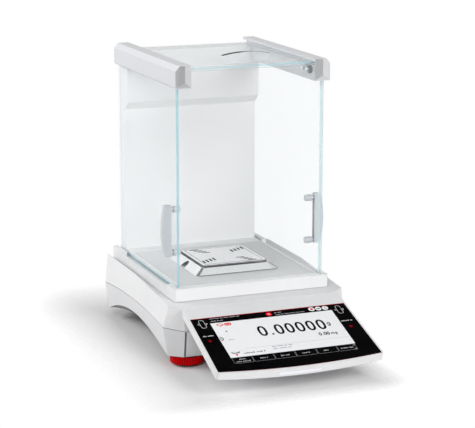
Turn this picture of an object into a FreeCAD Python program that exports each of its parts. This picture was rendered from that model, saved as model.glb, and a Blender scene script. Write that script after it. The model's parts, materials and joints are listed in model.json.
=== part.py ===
import FreeCAD, Part
import math
import os

import Sketcher

# Semi-micro analytical balance, +Z up, millimetres.
# Origin: middle of the bounding box, on the bench that the feet stand on.
# The terminal faces -Y, the ports face +Y, and the sliding doors are at -X and +X.

# Driving dimensions, by the piece that they belong to
SIZES = {
    # Base outline: half widths and corner places at the foot edge, the belt and the top
    "base_front": 67.5,
    "base_rear": 196.5,
    "foot_lift": 0.6,
    "belt_band": 1,
    "belt_half": 115,
    "top_inset": 5,
    "deck_inset": 17,
    "nose_inset": 3,
    "foot_lean": 4,
    "top_lean": 2,
    "front_corner": 18,
    "rear_corner": 25,
    "base_wall": 3.5,
    "base_floor": 4,
    "rear_wall": 6.5,
    "tray_run": 102,
    "arch_floor_cut": 30,
    # Seam between the two halves of the base
    "seam_apex_height": 53,
    "seam_apex_along": 62,
    "seam_radius": 970,
    "seam_gap": 0.7,
    "joint_width": 2.4,
    "joint_depth": 1.6,
    "joint_inset": 0.5,
    # Top of the base: level behind, falling towards the front
    "deck_seat_rise": 20,
    "shoulder_rise": 9.5,
    "shoulder_along": 64,
    "brow_drop": 0.4,
    # Arches under the two sides
    "arch_radius": 262,
    "arch_lift": 25.5,
    "arch_along": 62,
    "soffit_lift": 1.5,
    "soffit_inset": 27,
    # Deck that carries the draught shield
    "deck_setback": 25,
    "deck_rear_setback": 6.5,
    "deck_rise": 15.5,
    "deck_rebate": 0.8,
    "rebate_depth": 1.2,
    "ledge_drop": 5.1,
    "deck_wall": 4,
    "post_front_depth": 28.5,
    "post_rear_depth": 38,
    # Chamber floor plate
    "floor_margin": 4.6,
    "floor_front_margin": 12.5,
    "floor_rear_margin": 46,
    "floor_sheet": 1.2,
    "floor_groove": 1,
    "clearance": 0.3,
    # Glass
    "glass_sheet": 4,
    "door_sheet": 3.2,
    "door_margin": 9.7,
    "door_sink": 3.6,
    "glass_sink": 4,
    "runner_rear": 46,
    "door_gap": 0.5,
    "door_rear_margin": 6.5,
    "glass_setback": 5,
    # Rails
    "rail_margin": 2,
    "rail_width": 19,
    "rail_depth": 26,
    "chamber_height": 261.5,
    "rail_overhang": 2,
    "rail_stop": 1,
    "slot_half_width": 1.9,
    "slot_depth": 7.5,
    "channel_height": 9.5,
    "channel_half_width": 4.1,
    "groove_drop": 7.9,
    "top_groove_depth": 4.6,
    "cap_depth": 4,
    "cap_ridge_inset": 10.5,
    "clip_setback": 0.5,
    "clip_reach": 20.5,
    "clip_drop": 13.6,
    "clip_half_height": 4.8,
    "clip_sheet": 3.4,
    "clip_screw_start": 7.5,
    "clip_screw_stop": 1,
    "clip_screw_radius": 1.5,
    "clip_screw_length": 6,
    "cap_bevel": 9,
    # Top door
    "top_door_lap": 4.2,
    "top_door_setback": 1.5,
    "top_door_tail": 6,
    "handle_width": 60,
    "handle_rise": 10,
    "handle_crown": 3.2,
    "handle_sheet": 7,
    "handle_along": -16.5,
    # Side door handles
    "grip_lift": 33,
    "grip_length": 61.5,
    "grip_reach": 7.7,
    "grip_bow": 11.5,
    "grip_setback": 17.8,
    "grip_sheet": 7,
    "lug_radius": 4,
    "lug_reach": 8,
    "stud_radius": 2.2,
    # Column behind the chamber
    "column_margin": 0.7,
    "column_depth": 20,
    "column_rear_setback": 3.5,
    "bulge_depth": 12.5,
    "bulge_drop": 56,
    "bulge_slope": 10,
    "column_wall": 2.5,
    # Weighing pan and draught skirt
    "pan_along": 54.6,
    "pan_width": 83,
    "pan_rise": 10.5,
    "pan_sheet": 1.2,
    "pan_corner": 3,
    "pan_slot_width": 2.6,
    "pan_slot_pitch": 5.5,
    "pan_slot_start": 16.5,
    "pan_slot_inner": 10,
    "pan_slot_stagger": 3.2,
    "pan_slot_length": 11,
    "pan_border": 4,
    "pan_groove_width": 1,
    "pan_groove_depth": 0.4,
    "skirt_spread": 22.4,
    "skirt_spread_deep": 16.4,
    "skirt_drop": 2.4,
    "skirt_arch_radius": 6.8,
    "skirt_gap": 0.8,
    "skirt_sheet": 1,
    "skirt_corner": 5,
    "skirt_corner_top": 3,
    "carrier_radius": 4.5,
    "carrier_drop": 3,
    # Levelling feet
    "foot_inset": 30,
    "foot_setback": 20.5,
    "wheel_radius": 20,
    "wheel_foot": 2.5,
    "wheel_height": 9.4,
    "wheel_ribs": 40,
    "wheel_notch": 1.2,
    "notch_rim": 0.35,
    "stem_radius": 4,
    "stem_length": 24,
    "running_gap": 0.05,
    "pad_radius": 12,
    "pivot_radius": 2.5,
    "pivot_height": 9,
    "bush_length": 16.5,
    "bush_radius": 7.5,
    "rear_foot_margin": 32.5,
    "rear_foot_inset": 25,
    "rear_spigot_radius": 5,
    "screw_front_inset": 23,
    "screw_front_margin": 18.5,
    "screw_rear_outset": 4.4,
    "screw_rear_margin": 24.5,
    "screw_joint_drop": 8,
    "screw_head_drop": 11,
    "rear_foot_radius": 12,
    # Terminal
    "tilt": 18.8,
    "terminal_reach": 22,
    "terminal_drop": 7.8,
    "screen_glass_top": 96.5,
    "screen_widening": 3,
    "screen_glass_length": 102.7,
    "screen_glass_bow": 6.3,
    "screen_glass_sheet": 2,
    "bezel_margin": 2.2,
    "bezel_brow": 21.5,
    "bezel_chin": 1.6,
    "bezel_bow": 9,
    "bezel_depth": 9,
    "bezel_wall": 2.2,
    "glass_gap": 0.15,
    "hook_across": 30,
    "hook_up": 9,
    "display_margin": 17.5,
    "display_start": 3.5,
    "display_end_margin": 10.7,
    "display_depth": 4,
    "light_half": 25,
    "light_height": 2.6,
    "light_foot": 6.4,
    "light_middle": -4.5,
    "back_margin": 10.5,
    "back_top": 1,
    "back_end_margin": 5.7,
    "back_depth": 8,
    "bracket_half": 42,
    "bracket_foot_drop": 7,
    "bracket_nose": 8,
    "bracket_bolt_across": 36,
    "bracket_bolt_drop": 12.2,
    "bracket_bolt_reach": 8,
    "cable_half": 10,
    "cable_drop": 6.4,
    "cable_end": 25,
    "cable_window_drop": 2,
    # Weigh cell and calibration gear
    "chassis_sheet": 5,
    "chassis_margin": 8,
    "chassis_front_margin": 32.5,
    "chassis_rear_margin": 4,
    "cell_half": 28,
    "cell_lead": 14.6,
    "cell_gap": 2,
    "cell_root": 20,
    "receptor_length": 23,
    "lever_slot_drop": 18,
    "cell_headroom": 17,
    "cell_slot": 2,
    "hinge_web": 1.2,
    "magnet_gap": 2,
    "magnet_radius": 20,
    "sensor_margin": 9,
    "coil_radius": 12,
    "weight_offset": 19,
    "weight_radius": 10,
    "weight_length": 14,
    "journal_radius": 4,
    "journal_length": 7,
    "weight_drop": 6,
    "lifter_sheet": 3,
    "lifter_rise": 10,
    "screw_offset": 23,
    "screw_radius": 2.5,
    "motor_radius": 10,
    "motor_height": 18,
    # Electronics
    "board_sheet": 1.6,
    "board_lift": 8,
    "board_gap": 7,
    "chip_side": 13,
    "chip_height": 2.6,
    "chip_pitch": 30,
    "plug_half": 12,
    "plug_margin": 30,
    "port_reach": 9,
    "port_half": 70,
    "jack_radius": 2.8,
    "jack_depth": 7,
    "port_lift": 8.5,
    "port_height": 12,
    # Fasteners
    "bolt_radius": 2,
    "bolt_head_radius": 3.6,
    "bolt_head_height": 2.4,
    "bolt_length": 14,
    "hook_hole_radius": 8,
}

doc = FreeCAD.newDocument("semi_micro_balance")
sheet = doc.addObject("Spreadsheet::Sheet", "Sizes")
for row, (alias, number) in enumerate(SIZES.items(), start=1):
    sheet.set("A%d" % row, alias)
    sheet.set("B%d" % row, str(number))
    sheet.setAlias("B%d" % row, alias)
doc.recompute()


class Size:
    """A length with its number and the spreadsheet formula that gives it."""

    def __init__(self, text, number):
        self.text = text
        self.number = float(number)

    def joined(self, sign, other, number):
        return Size("(%s %s %s)" % (self.text, sign, formula(other)), number)

    def __add__(self, other):
        return self.joined("+", other, self.number + plain(other))

    def __sub__(self, other):
        return self.joined("-", other, self.number - plain(other))

    def __mul__(self, other):
        return self.joined("*", other, self.number * plain(other))

    def __truediv__(self, other):
        return self.joined("/", other, self.number / plain(other))

    def __neg__(self):
        return Size("(0 - %s)" % self.text, -self.number)

    def __radd__(self, other):
        return Size(formula(other), plain(other)) + self

    def __rsub__(self, other):
        return Size(formula(other), plain(other)) - self

    def __rmul__(self, other):
        return Size(formula(other), plain(other)) * self


def formula(value):
    return value.text if isinstance(value, Size) else repr(value)


def plain(value):
    return value.number if isinstance(value, Size) else float(value)


def sine(angle):
    return Size("sin(%s)" % formula(angle), math.sin(math.radians(plain(angle))))


def cosine(angle):
    return Size("cos(%s)" % formula(angle), math.cos(math.radians(plain(angle))))


def tangent(angle):
    return Size("tan(%s)" % formula(angle), math.tan(math.radians(plain(angle))))


def root(value):
    return Size("sqrt(%s)" % formula(value), math.sqrt(plain(value)))


class SizeSheet:
    """The cells of the spreadsheet, by alias."""

    def __getattr__(self, alias):
        return Size("Sizes." + alias, sheet.get(alias))


s = SizeSheet()
PIECES = []

# Places of the base that follow from the driving dimensions
s.foot_edge_height = s.wheel_foot + s.wheel_height + s.foot_lift
s.top_half = s.belt_half - s.top_inset
s.deck_half = s.belt_half - s.deck_inset
s.nose_half = s.deck_half - s.nose_inset
s.soffit_half = s.belt_half - s.soffit_inset
s.deck_seat = s.seam_apex_height + s.deck_seat_rise
s.shoulder_height = s.deck_seat + s.shoulder_rise
s.brow_height = s.deck_seat - s.brow_drop
s.arch_apex = s.foot_edge_height + s.arch_lift
s.soffit_apex = s.foot_edge_height + s.soffit_lift
s.foot_across = s.belt_half - s.foot_inset
s.foot_along = s.base_front - s.foot_setback
s.rear_foot_across = s.foot_across - s.rear_foot_inset
s.rear_foot_along = s.base_rear - s.rear_foot_margin
s.bush_top = s.foot_edge_height + s.bush_length
s.screw_front_across = s.foot_across - s.screw_front_inset
s.screw_front_along = s.base_front - s.screw_front_margin
s.screw_rear_across = s.foot_across + s.screw_rear_outset
s.screw_rear_along = s.base_rear - s.screw_rear_margin
s.screw_joint = s.seam_apex_height - s.screw_joint_drop
s.screw_head_foot = s.screw_joint - s.screw_head_drop

# Places of the deck, the draught shield and the column
s.deck_front = s.base_front - s.deck_setback
s.deck_rear = s.base_rear - s.deck_rear_setback
s.deck_height = s.deck_seat + s.deck_rise
s.ledge_height = s.deck_height - s.ledge_drop
s.post_front = s.deck_front - s.post_front_depth
s.post_rear = s.deck_rear - s.post_rear_depth
s.door_inside = s.deck_half - s.door_margin
s.floor_half = s.door_inside - s.floor_margin
s.floor_front = s.deck_front - s.floor_front_margin
s.floor_rear = s.deck_rear - s.floor_rear_margin
s.door_foot = s.deck_height - s.door_sink
s.glass_foot = s.deck_height - s.glass_sink
s.front_glass_face = s.deck_front - s.glass_setback
s.front_glass_half = s.door_inside + s.door_sheet
s.door_front = s.front_glass_face - s.glass_sheet - s.door_gap
s.column_rear = s.deck_rear - s.column_rear_setback
s.column_face = s.column_rear - s.column_depth
s.column_half = s.door_inside - s.column_margin
s.bulge_face = s.column_face - s.bulge_depth
s.door_rear = s.column_rear - s.door_rear_margin
s.rail_outer = s.deck_half - s.rail_margin
s.rail_inner = s.rail_outer - s.rail_width
s.rail_height = s.deck_height + s.chamber_height
s.rail_foot = s.rail_height - s.rail_depth
s.rail_front = s.deck_front + s.rail_overhang
s.rail_rear = s.door_rear + s.rail_stop
s.cap_ridge = s.rail_outer - s.cap_ridge_inset
s.top_groove_foot = s.rail_height - s.groove_drop
s.column_height = s.top_groove_foot - s.clearance
s.bulge_foot = s.rail_foot - s.bulge_drop
s.clip_front = s.front_glass_face - s.clip_setback
s.clip_rear = s.clip_front - s.clip_reach
s.clip_height = s.rail_height - s.clip_drop
s.clip_screw_front = s.clip_front - s.clip_screw_start
s.clip_screw_rear = s.clip_rear + s.clip_screw_stop
s.top_door_half = s.rail_inner + s.top_door_lap
s.top_door_front = s.front_glass_face - s.top_door_setback
s.top_door_rear = s.bulge_face + s.top_door_tail
s.grip_foot = s.deck_height + s.grip_lift
s.grip_top = s.grip_foot + s.grip_length
s.grip_front = s.door_front - s.grip_setback
s.pan_height = s.deck_height + s.pan_rise
s.skirt_height = s.pan_height - s.skirt_drop
s.skirt_opening = s.pan_width + s.skirt_gap * 2
s.skirt_width = s.skirt_opening + s.skirt_spread
s.skirt_depth = s.skirt_opening + s.skirt_spread_deep
s.carrier_height = s.pan_height - s.carrier_drop

# Places of the terminal
s.terminal_along = s.base_front + s.terminal_reach
s.terminal_height = s.deck_seat - s.terminal_drop
s.screen_glass_foot = s.screen_glass_top + s.screen_widening
s.display_half = s.screen_glass_top - s.display_margin
s.display_length = s.screen_glass_length - s.display_end_margin
s.back_half = s.screen_glass_top - s.back_margin
s.back_length = s.screen_glass_length - s.back_end_margin
s.bracket_bolt_height = s.terminal_height - s.bracket_bolt_drop
s.bracket_foot = s.bracket_bolt_height - s.bracket_foot_drop
s.cable_window_foot = s.bracket_bolt_height - s.cable_window_drop
s.cable_level = -s.bezel_depth - s.cable_drop

# Places of the parts inside the base
s.port_board_along = s.base_rear - s.rear_wall - s.port_reach
s.port_foot = s.foot_edge_height + s.port_lift
s.chassis_half = s.soffit_half - s.chassis_margin
s.chassis_front = s.base_front - s.chassis_front_margin
s.chassis_rear = s.port_board_along - s.chassis_rear_margin
s.sensor_along = s.chassis_rear - s.sensor_margin
s.magnet_along = s.sensor_along - s.magnet_radius - s.magnet_gap
s.cell_rear = s.magnet_along - s.magnet_radius - s.cell_gap
s.cell_column = s.cell_rear - s.cell_root
s.cell_front = s.pan_along - s.cell_lead
s.cell_receptor = s.cell_front + s.receptor_length
s.cell_height = s.deck_seat - s.cell_headroom
s.lever_slot = s.cell_height - s.lever_slot_drop
s.weight_across = s.cell_half + s.weight_offset
s.weight_height = s.cell_height - s.weight_drop
s.screw_across = s.weight_across + s.screw_offset
s.lifter_height = s.cell_height + s.lifter_rise


def bind(item, name, value):
    """Tie one property to its formula, or set it where it is a bare number."""
    if isinstance(value, Size):
        item.setExpression(name, value.text)
    else:
        item.setExpression(name, repr(float(value)))


def piece(item, label):
    """Keep an object as one of the pieces of the balance."""
    item.Label = label
    PIECES.append(item)
    return item


# Sketched features

def new_body(label):
    return piece(doc.addObject("PartDesign::Body", label), label)


def sketch(body, plane, offset=0):
    """A sketch on one of the body's own planes: XY, XZ (facing -Y) or YZ (facing +X)."""
    flat = body.newObject("Sketcher::SketchObject", body.Name + "_sketch")
    for datum in body.Origin.OriginFeatures:
        if datum.Role == plane + "_Plane":
            flat.AttachmentSupport = [(datum, "")]
    flat.MapMode = "FlatFace"
    if isinstance(offset, Size) or offset:
        bind(flat, "AttachmentOffset.Base.z", offset)
    return flat


def pin_point(flat, geometry, end, x, y):
    """Fix one end of a sketch edge at x, y from the sketch origin."""
    for kind, value, axis in (("DistanceX", x, -2), ("DistanceY", y, -1)):
        if not isinstance(value, Size) and value == 0:
            flat.addConstraint(Sketcher.Constraint("PointOnObject", geometry, end, axis))
            continue
        index = flat.addConstraint(
            Sketcher.Constraint(kind, -1, 1, geometry, end, plain(value)))
        bind(flat, "Constraints[%d]" % index, value)


def arc_through(start, end, radius, turn):
    """The arc of under half a turn from start to end; turn is 1 anticlockwise, -1 clockwise."""
    chord = end - start
    middle = (start + end) / 2
    half = chord.Length / 2
    rise = math.sqrt(max(radius ** 2 - half ** 2, 0))
    normal = FreeCAD.Vector(-chord.y, chord.x, 0).normalize()
    centre = middle + normal * rise * turn
    first = math.atan2(start.y - centre.y, start.x - centre.x)
    last = math.atan2(end.y - centre.y, end.x - centre.x)
    circle_ = Part.Circle(centre, FreeCAD.Vector(0, 0, 1), radius)
    if turn > 0:
        return Part.ArcOfCircle(circle_, first, last), 1, 2
    return Part.ArcOfCircle(circle_, last, first), 2, 1


def outline(flat, corners):
    """A closed outline. A corner is (x, y), or (x, y, radius, turn) if an arc leaves it."""
    count = len(corners)
    ends = []
    for index, corner in enumerate(corners):
        after = corners[(index + 1) % count]
        start = FreeCAD.Vector(plain(corner[0]), plain(corner[1]), 0)
        end = FreeCAD.Vector(plain(after[0]), plain(after[1]), 0)
        if len(corner) == 2:
            geometry = flat.addGeometry(Part.LineSegment(start, end))
            ends.append((geometry, 1, 2))
            continue
        edge, first, last = arc_through(start, end, plain(corner[2]), corner[3])
        geometry = flat.addGeometry(edge)
        bound = flat.addConstraint(Sketcher.Constraint("Radius", geometry, plain(corner[2])))
        bind(flat, "Constraints[%d]" % bound, corner[2])
        ends.append((geometry, first, last))
    for index, corner in enumerate(corners):
        geometry, first, last = ends[index]
        next_geometry, next_first, _ = ends[(index + 1) % count]
        flat.addConstraint(
            Sketcher.Constraint("Coincident", geometry, last, next_geometry, next_first))
        pin_point(flat, geometry, first, corner[0], corner[1])


def rectangle(flat, left, right, low, high):
    outline(flat, [(left, low), (right, low), (right, high), (left, high)])


def ring(flat, x, y, radius):
    """A circle in a sketch."""
    centre = FreeCAD.Vector(plain(x), plain(y), 0)
    geometry = flat.addGeometry(
        Part.Circle(centre, FreeCAD.Vector(0, 0, 1), plain(radius)))
    pin_point(flat, geometry, 3, x, y)
    bound = flat.addConstraint(Sketcher.Constraint("Radius", geometry, plain(radius)))
    bind(flat, "Constraints[%d]" % bound, radius)


def pad(body, flat, length, both_ways=False, down=False):
    feature = body.newObject("PartDesign::Pad", body.Name + "_pad")
    feature.Profile = flat
    bind(feature, "Length", length)
    feature.Midplane = both_ways
    feature.Reversed = down
    return feature


def pocket(body, flat, depth, both_ways=False, up=False):
    """A cut that goes against the sketch's normal, along it, or both ways."""
    feature = body.newObject("PartDesign::Pocket", body.Name + "_pocket")
    feature.Profile = flat
    bind(feature, "Length", depth)
    feature.Midplane = both_ways
    feature.Reversed = up
    return feature


def add_box(body, left, right, front, rear, low, high):
    flat = sketch(body, "XY", low)
    rectangle(flat, left, right, front, rear)
    return pad(body, flat, high - low)


def cut_box(body, left, right, front, rear, low, high):
    flat = sketch(body, "XY", high)
    rectangle(flat, left, right, front, rear)
    return pocket(body, flat, high - low)


def add_disc(body, x, y, radius, low, high):
    flat = sketch(body, "XY", low)
    ring(flat, x, y, radius)
    return pad(body, flat, high - low)


def cut_disc(body, x, y, radius, low, high):
    flat = sketch(body, "XY", high)
    ring(flat, x, y, radius)
    return pocket(body, flat, high - low)


def loft(body, kind, flats):
    feature = body.newObject("PartDesign::" + kind, body.Name + "_loft")
    feature.Profile = flats[0]
    feature.Sections = flats[1:]
    feature.Ruled = True
    return feature


def edges_where(body, test):
    """Names of the edges of the body so far that pass a test."""
    doc.recompute()
    return ["Edge%d" % number for number, edge in enumerate(body.Tip.Shape.Edges, start=1)
            if test(edge)]


def round_edges(body, radius, test, kind="Fillet"):
    names = edges_where(body, test)
    tip = body.Tip
    feature = body.newObject("PartDesign::" + kind, body.Name + "_" + kind.lower())
    feature.Base = (tip, names)
    bind(feature, "Radius" if kind == "Fillet" else "Size", radius)
    return feature


def along(edge, axis):
    """True for a straight edge that runs along one axis."""
    if edge.Curve.TypeId != "Part::GeomLine":
        return False
    direction = edge.Curve.Direction
    return abs(abs(getattr(direction, axis)) - 1) < 1e-6


def near(value, target):
    return abs(value - plain(target)) < 0.01


# Plain solids and their combinations

def move(item, x, y, z):
    for name, value in (("x", x), ("y", y), ("z", z)):
        if isinstance(value, Size) or value:
            bind(item, "Placement.Base." + name, value)
    return item


AXES = {
    "Z": FreeCAD.Rotation(),
    "X": FreeCAD.Rotation(FreeCAD.Vector(0, 1, 0), 90),
    "Y": FreeCAD.Rotation(FreeCAD.Vector(1, 0, 0), -90),
}


def rod(radius, length, x, y, z, axis="Z"):
    item = doc.addObject("Part::Cylinder", "rod")
    bind(item, "Radius", radius)
    bind(item, "Height", length)
    item.Placement = FreeCAD.Placement(FreeCAD.Vector(), AXES[axis])
    return move(item, x, y, z)


def block(left, right, front, rear, low, high):
    item = doc.addObject("Part::Box", "block")
    bind(item, "Length", right - left)
    bind(item, "Width", rear - front)
    bind(item, "Height", high - low)
    return move(item, left, front, low)


def cone(low_radius, high_radius, height, x, y, z):
    item = doc.addObject("Part::Cone", "cone")
    bind(item, "Radius1", low_radius)
    bind(item, "Radius2", high_radius)
    bind(item, "Height", height)
    return move(item, x, y, z)


def fused(items):
    item = doc.addObject("Part::MultiFuse", "fused")
    item.Shapes = items
    return item


def cut(base, tools):
    item = doc.addObject("Part::Cut", "cut")
    item.Base = base
    item.Tool = tools[0] if len(tools) == 1 else fused(tools)
    return item


def group(items):
    item = doc.addObject("Part::Compound", "group")
    item.Links = items
    return item


def mirrored(source, label):
    """The same piece on the other side of the balance."""
    item = doc.addObject("Part::Mirroring", label)
    item.Source = source
    item.Normal = FreeCAD.Vector(1, 0, 0)
    return piece(item, label)


def hidden_body(name):
    """A body that only serves as a step towards a piece."""
    return doc.addObject("PartDesign::Body", name)


# Shape of the base: ruled faces between stations that stand across X

def seam_at(y):
    """Height of the seam between the two halves of the base."""
    run = y - s.seam_apex_along
    drop = s.seam_radius - root(s.seam_radius * s.seam_radius - run * run)
    return s.seam_apex_height - drop


def corner_share(x):
    return (x - s.nose_half) / (s.belt_half - s.nose_half)


def front_at(x):
    return s.front_corner * corner_share(x) - s.base_front


def rear_at(x):
    return s.base_rear - s.rear_corner * corner_share(x)


def shoulder_at(y):
    """Height of the side's top edge where it falls towards the front."""
    fall = (s.shoulder_height - s.brow_height) / (s.shoulder_along + s.base_front)
    return s.shoulder_height - fall * (s.shoulder_along - y)


def belt_station(body, side):
    """The narrow band at the widest place, which follows the seam."""
    x = s.belt_half
    front = front_at(x)
    rear = rear_at(x)
    middle = s.shoulder_along
    flat = sketch(body, "YZ", x * side)
    outline(flat, [
        (front, seam_at(front) - s.belt_band, s.seam_radius, -1),
        (rear, seam_at(rear) - s.belt_band),
        (rear, seam_at(rear)),
        (rear, seam_at(rear) + s.belt_band, s.seam_radius, 1),
        (middle, seam_at(middle) + s.belt_band, s.seam_radius, 1),
        (front, seam_at(front) + s.belt_band),
        (front, seam_at(front)),
    ])
    return flat


def base_station(body, x, side, crown, brow):
    front = front_at(x)
    rear = rear_at(x)
    flat = sketch(body, "YZ", x * side)
    outline(flat, [
        (front + s.foot_lean, s.foot_edge_height),
        (rear - s.foot_lean, s.foot_edge_height),
        (rear, seam_at(rear)),
        (rear - s.top_lean, crown),
        (s.shoulder_along, crown),
        (front, brow),
        (front, seam_at(front)),
    ])
    return flat


def base_solid(body):
    """The outer shape that the two halves of the base share."""
    half = [
        (s.top_half, s.shoulder_height, shoulder_at(front_at(s.top_half))),
        (s.deck_half, s.deck_seat, s.deck_seat),
        (s.nose_half, s.deck_seat, s.deck_seat - 0.3),
    ]
    flats = [belt_station(body, -1)]
    flats += [base_station(body, x, -1, crown, brow) for x, crown, brow in half]
    flats += [base_station(body, x, 1, crown, brow) for x, crown, brow in reversed(half)]
    flats.append(belt_station(body, 1))
    loft(body, "AdditiveLoft", flats)


def cut_at_seam(body, keep_below):
    """Remove what lies on the other side of the seam."""
    front = -s.base_front - 10
    rear = s.base_rear + 10
    flat = sketch(body, "YZ")
    if keep_below:
        low = -s.seam_gap / 2
        outline(flat, [
            (front, seam_at(front) + low, s.seam_radius, -1),
            (rear, seam_at(rear) + low),
            (rear, s.deck_height),
            (front, s.deck_height),
        ])
    else:
        low = s.seam_gap / 2
        outline(flat, [
            (front, 0),
            (rear, 0),
            (rear, seam_at(rear) + low, s.seam_radius, 1),
            (front, seam_at(front) + low),
        ])
    pocket(body, flat, s.belt_half * 3, both_ways=True)


BASE_SCREWS = [(s.screw_front_across, -s.screw_front_along),
               (s.screw_rear_across, s.screw_rear_along)]


# Lower half of the base: a tray with a flared arch under each side

lower = new_body("lower_housing")
base_solid(lower)
cut_at_seam(lower, keep_below=True)

arch_floor = s.foot_edge_height - 5
arch_rise = s.arch_apex - arch_floor
arch_run = root(arch_rise * (s.arch_radius * 2 - arch_rise))
soffit_rise = s.soffit_apex - arch_floor
soffit_radius = (arch_run * arch_run + soffit_rise * soffit_rise) / (soffit_rise * 2)
for side in (-1, 1):
    flats = []
    for x, radius in ((s.soffit_half, soffit_radius), (s.belt_half + 1, s.arch_radius)):
        flat = sketch(lower, "YZ", x * side)
        outline(flat, [
            (s.arch_along - arch_run, arch_floor),
            (s.arch_along + arch_run, arch_floor, radius, 1),
        ])
        flats.append(flat)
    loft(lower, "SubtractiveLoft", flats)

tray_floor = s.foot_edge_height + s.base_floor
tray_arch = s.arch_apex - 2
tray_run = s.tray_run
tray_drop = s.arch_radius - root(s.arch_radius * s.arch_radius - tray_run * tray_run)
flats = []
for side, wide in ((-1, True), (-1, False), (1, False), (1, True)):
    if wide:
        flat = sketch(lower, "YZ", (s.top_half - 2.5) * side)
        outline(flat, [
            (s.arch_along - tray_run, tray_arch - tray_drop, s.arch_radius, -1),
            (s.arch_along + tray_run, tray_arch - tray_drop),
            (s.arch_along + tray_run, s.deck_seat),
            (s.arch_along - tray_run, s.deck_seat),
        ])
    else:
        flat = sketch(lower, "YZ", (s.soffit_half - 4) * side)
        rectangle(flat, -s.base_front + 9, s.base_rear - s.rear_wall, tray_floor, s.deck_seat)
    flats.append(flat)
loft(lower, "SubtractiveLoft", flats)

port_roof = s.port_foot + s.port_height
cut_box(lower, -s.port_half, s.port_half, s.base_rear - 12, s.base_rear + 2,
        s.port_foot - 2, port_roof + 2)
boss_top = s.screw_joint - 0.2
for side in (-1, 1):
    add_disc(lower, s.foot_across * side, -s.foot_along, s.bush_radius + 3.5,
             s.foot_edge_height, s.bush_top)
    for x, y in BASE_SCREWS:
        add_disc(lower, x * side, y, s.bolt_head_radius + 2.4, s.foot_edge_height, boss_top)
for side in (-1, 1):
    cut_disc(lower, s.foot_across * side, -s.foot_along, s.bush_radius + 0.05,
             s.foot_edge_height - 1, s.bush_top + 1)
    cut_disc(lower, s.rear_foot_across * side, s.rear_foot_along, s.rear_spigot_radius + 0.05,
             s.foot_edge_height - 1, tray_floor + 1)
    for x, y in BASE_SCREWS:
        cut_disc(lower, x * side, y, s.bolt_head_radius + 0.4,
                 s.foot_edge_height - 1, s.screw_head_foot + s.bolt_head_height)
        cut_disc(lower, x * side, y, s.bolt_radius + 0.05, s.foot_edge_height, boss_top + 1)
cut_disc(lower, 0, s.pan_along, s.hook_hole_radius, s.foot_edge_height - 1, tray_floor + 1)
# Upright joint beside each front corner
nose = front_at(s.nose_half)
joint_side = s.nose_half - s.joint_inset
for start in (joint_side, s.joint_width - joint_side):
    flat = sketch(lower, "YZ", start)
    outline(flat, [
        (nose - 2, s.foot_edge_height - 1),
        (nose + s.foot_lean + s.joint_depth, s.foot_edge_height - 1),
        (nose + s.joint_depth, seam_at(nose) + 1),
        (nose - 2, seam_at(nose) + 1),
    ])
    pocket(lower, flat, s.joint_width)


# Upper half of the base: a cover whose sides ramp down to the deck

upper = new_body("upper_housing")
base_solid(upper)
cut_at_seam(upper, keep_below=False)

ceiling = s.deck_seat - s.base_wall
flats = []
for side, wide in ((-1, True), (-1, False), (1, False), (1, True)):
    if wide:
        x = s.top_half - s.base_wall
        share = (x - s.deck_half) / (s.top_half - s.deck_half)
        crown = s.deck_seat + (s.shoulder_height - s.deck_seat) * share - s.base_wall - 0.6
        brow = s.brow_height - s.base_wall
    else:
        x = s.nose_half + 0.5
        crown = ceiling
        brow = ceiling
    front = front_at(x) + s.base_wall + 1.5
    rear = rear_at(x) - s.base_wall - 1.5
    flat = sketch(upper, "YZ", x * side)
    outline(flat, [
        (front, s.arch_floor_cut),
        (rear, s.arch_floor_cut),
        (rear, crown),
        (s.shoulder_along, crown),
        (front, brow),
    ])
    flats.append(flat)
loft(upper, "SubtractiveLoft", flats)
for side in (-1, 1):
    for x, y in BASE_SCREWS:
        add_disc(upper, x * side, y, s.bolt_head_radius + 1.4, s.screw_joint, s.deck_seat - 1)
for side in (-1, 1):
    for x, y in BASE_SCREWS:
        cut_disc(upper, x * side, y, s.bolt_radius + 0.05, s.screw_joint - 1,
                 s.screw_head_foot + s.bolt_head_height + s.bolt_length + 1)
cut_disc(upper, 0, s.pan_along, s.carrier_radius + 5, s.deck_seat - s.base_wall * 2,
         s.deck_seat + 1)
for left in (joint_side - s.joint_width / 3, -joint_side):
    cut_box(upper, left, left + s.joint_width / 3, nose - 1, nose + s.joint_depth / 2,
            seam_at(nose) - 1, s.deck_seat - 2)
cut_box(upper, -s.cable_half - 2, s.cable_half + 2, -s.base_front - 2, -s.base_front + 8,
        s.cable_window_foot, s.cable_window_foot + 12)
for side in (-1, 1):
    flat = sketch(upper, "XZ", s.base_front + 1)
    ring(flat, s.bracket_bolt_across * side, s.bracket_bolt_height, s.bolt_radius + 0.05)
    pocket(upper, flat, s.base_wall + 6)


# Deck that carries the draught shield

deck = new_body("deck_frame")
add_box(deck, -s.deck_half, s.deck_half, -s.deck_front, s.deck_rear,
        s.deck_seat, s.ledge_height)
track = s.door_inside - s.clearance
add_box(deck, -track, track, -s.deck_front, s.deck_rear, s.ledge_height, s.deck_height)
slot_wall = s.door_inside + s.door_sheet + s.clearance
for side in (-1, 1):
    near_side, far_side = (slot_wall, s.deck_half) if side > 0 else (-s.deck_half, -slot_wall)
    add_box(deck, near_side, far_side, -s.deck_front, -s.post_front,
            s.ledge_height, s.deck_height)
    add_box(deck, near_side, far_side, s.post_rear, s.deck_rear,
            s.ledge_height, s.deck_height)
front_stop = s.door_front + s.clearance
add_box(deck, -slot_wall, slot_wall, -s.deck_front, -front_stop, s.ledge_height, s.deck_height)
cut_box(deck, -s.front_glass_half - s.clearance, s.front_glass_half + s.clearance,
        -s.front_glass_face - 0.1, -s.front_glass_face + s.glass_sheet + 0.1,
        s.glass_foot, s.deck_height + 1)
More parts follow.
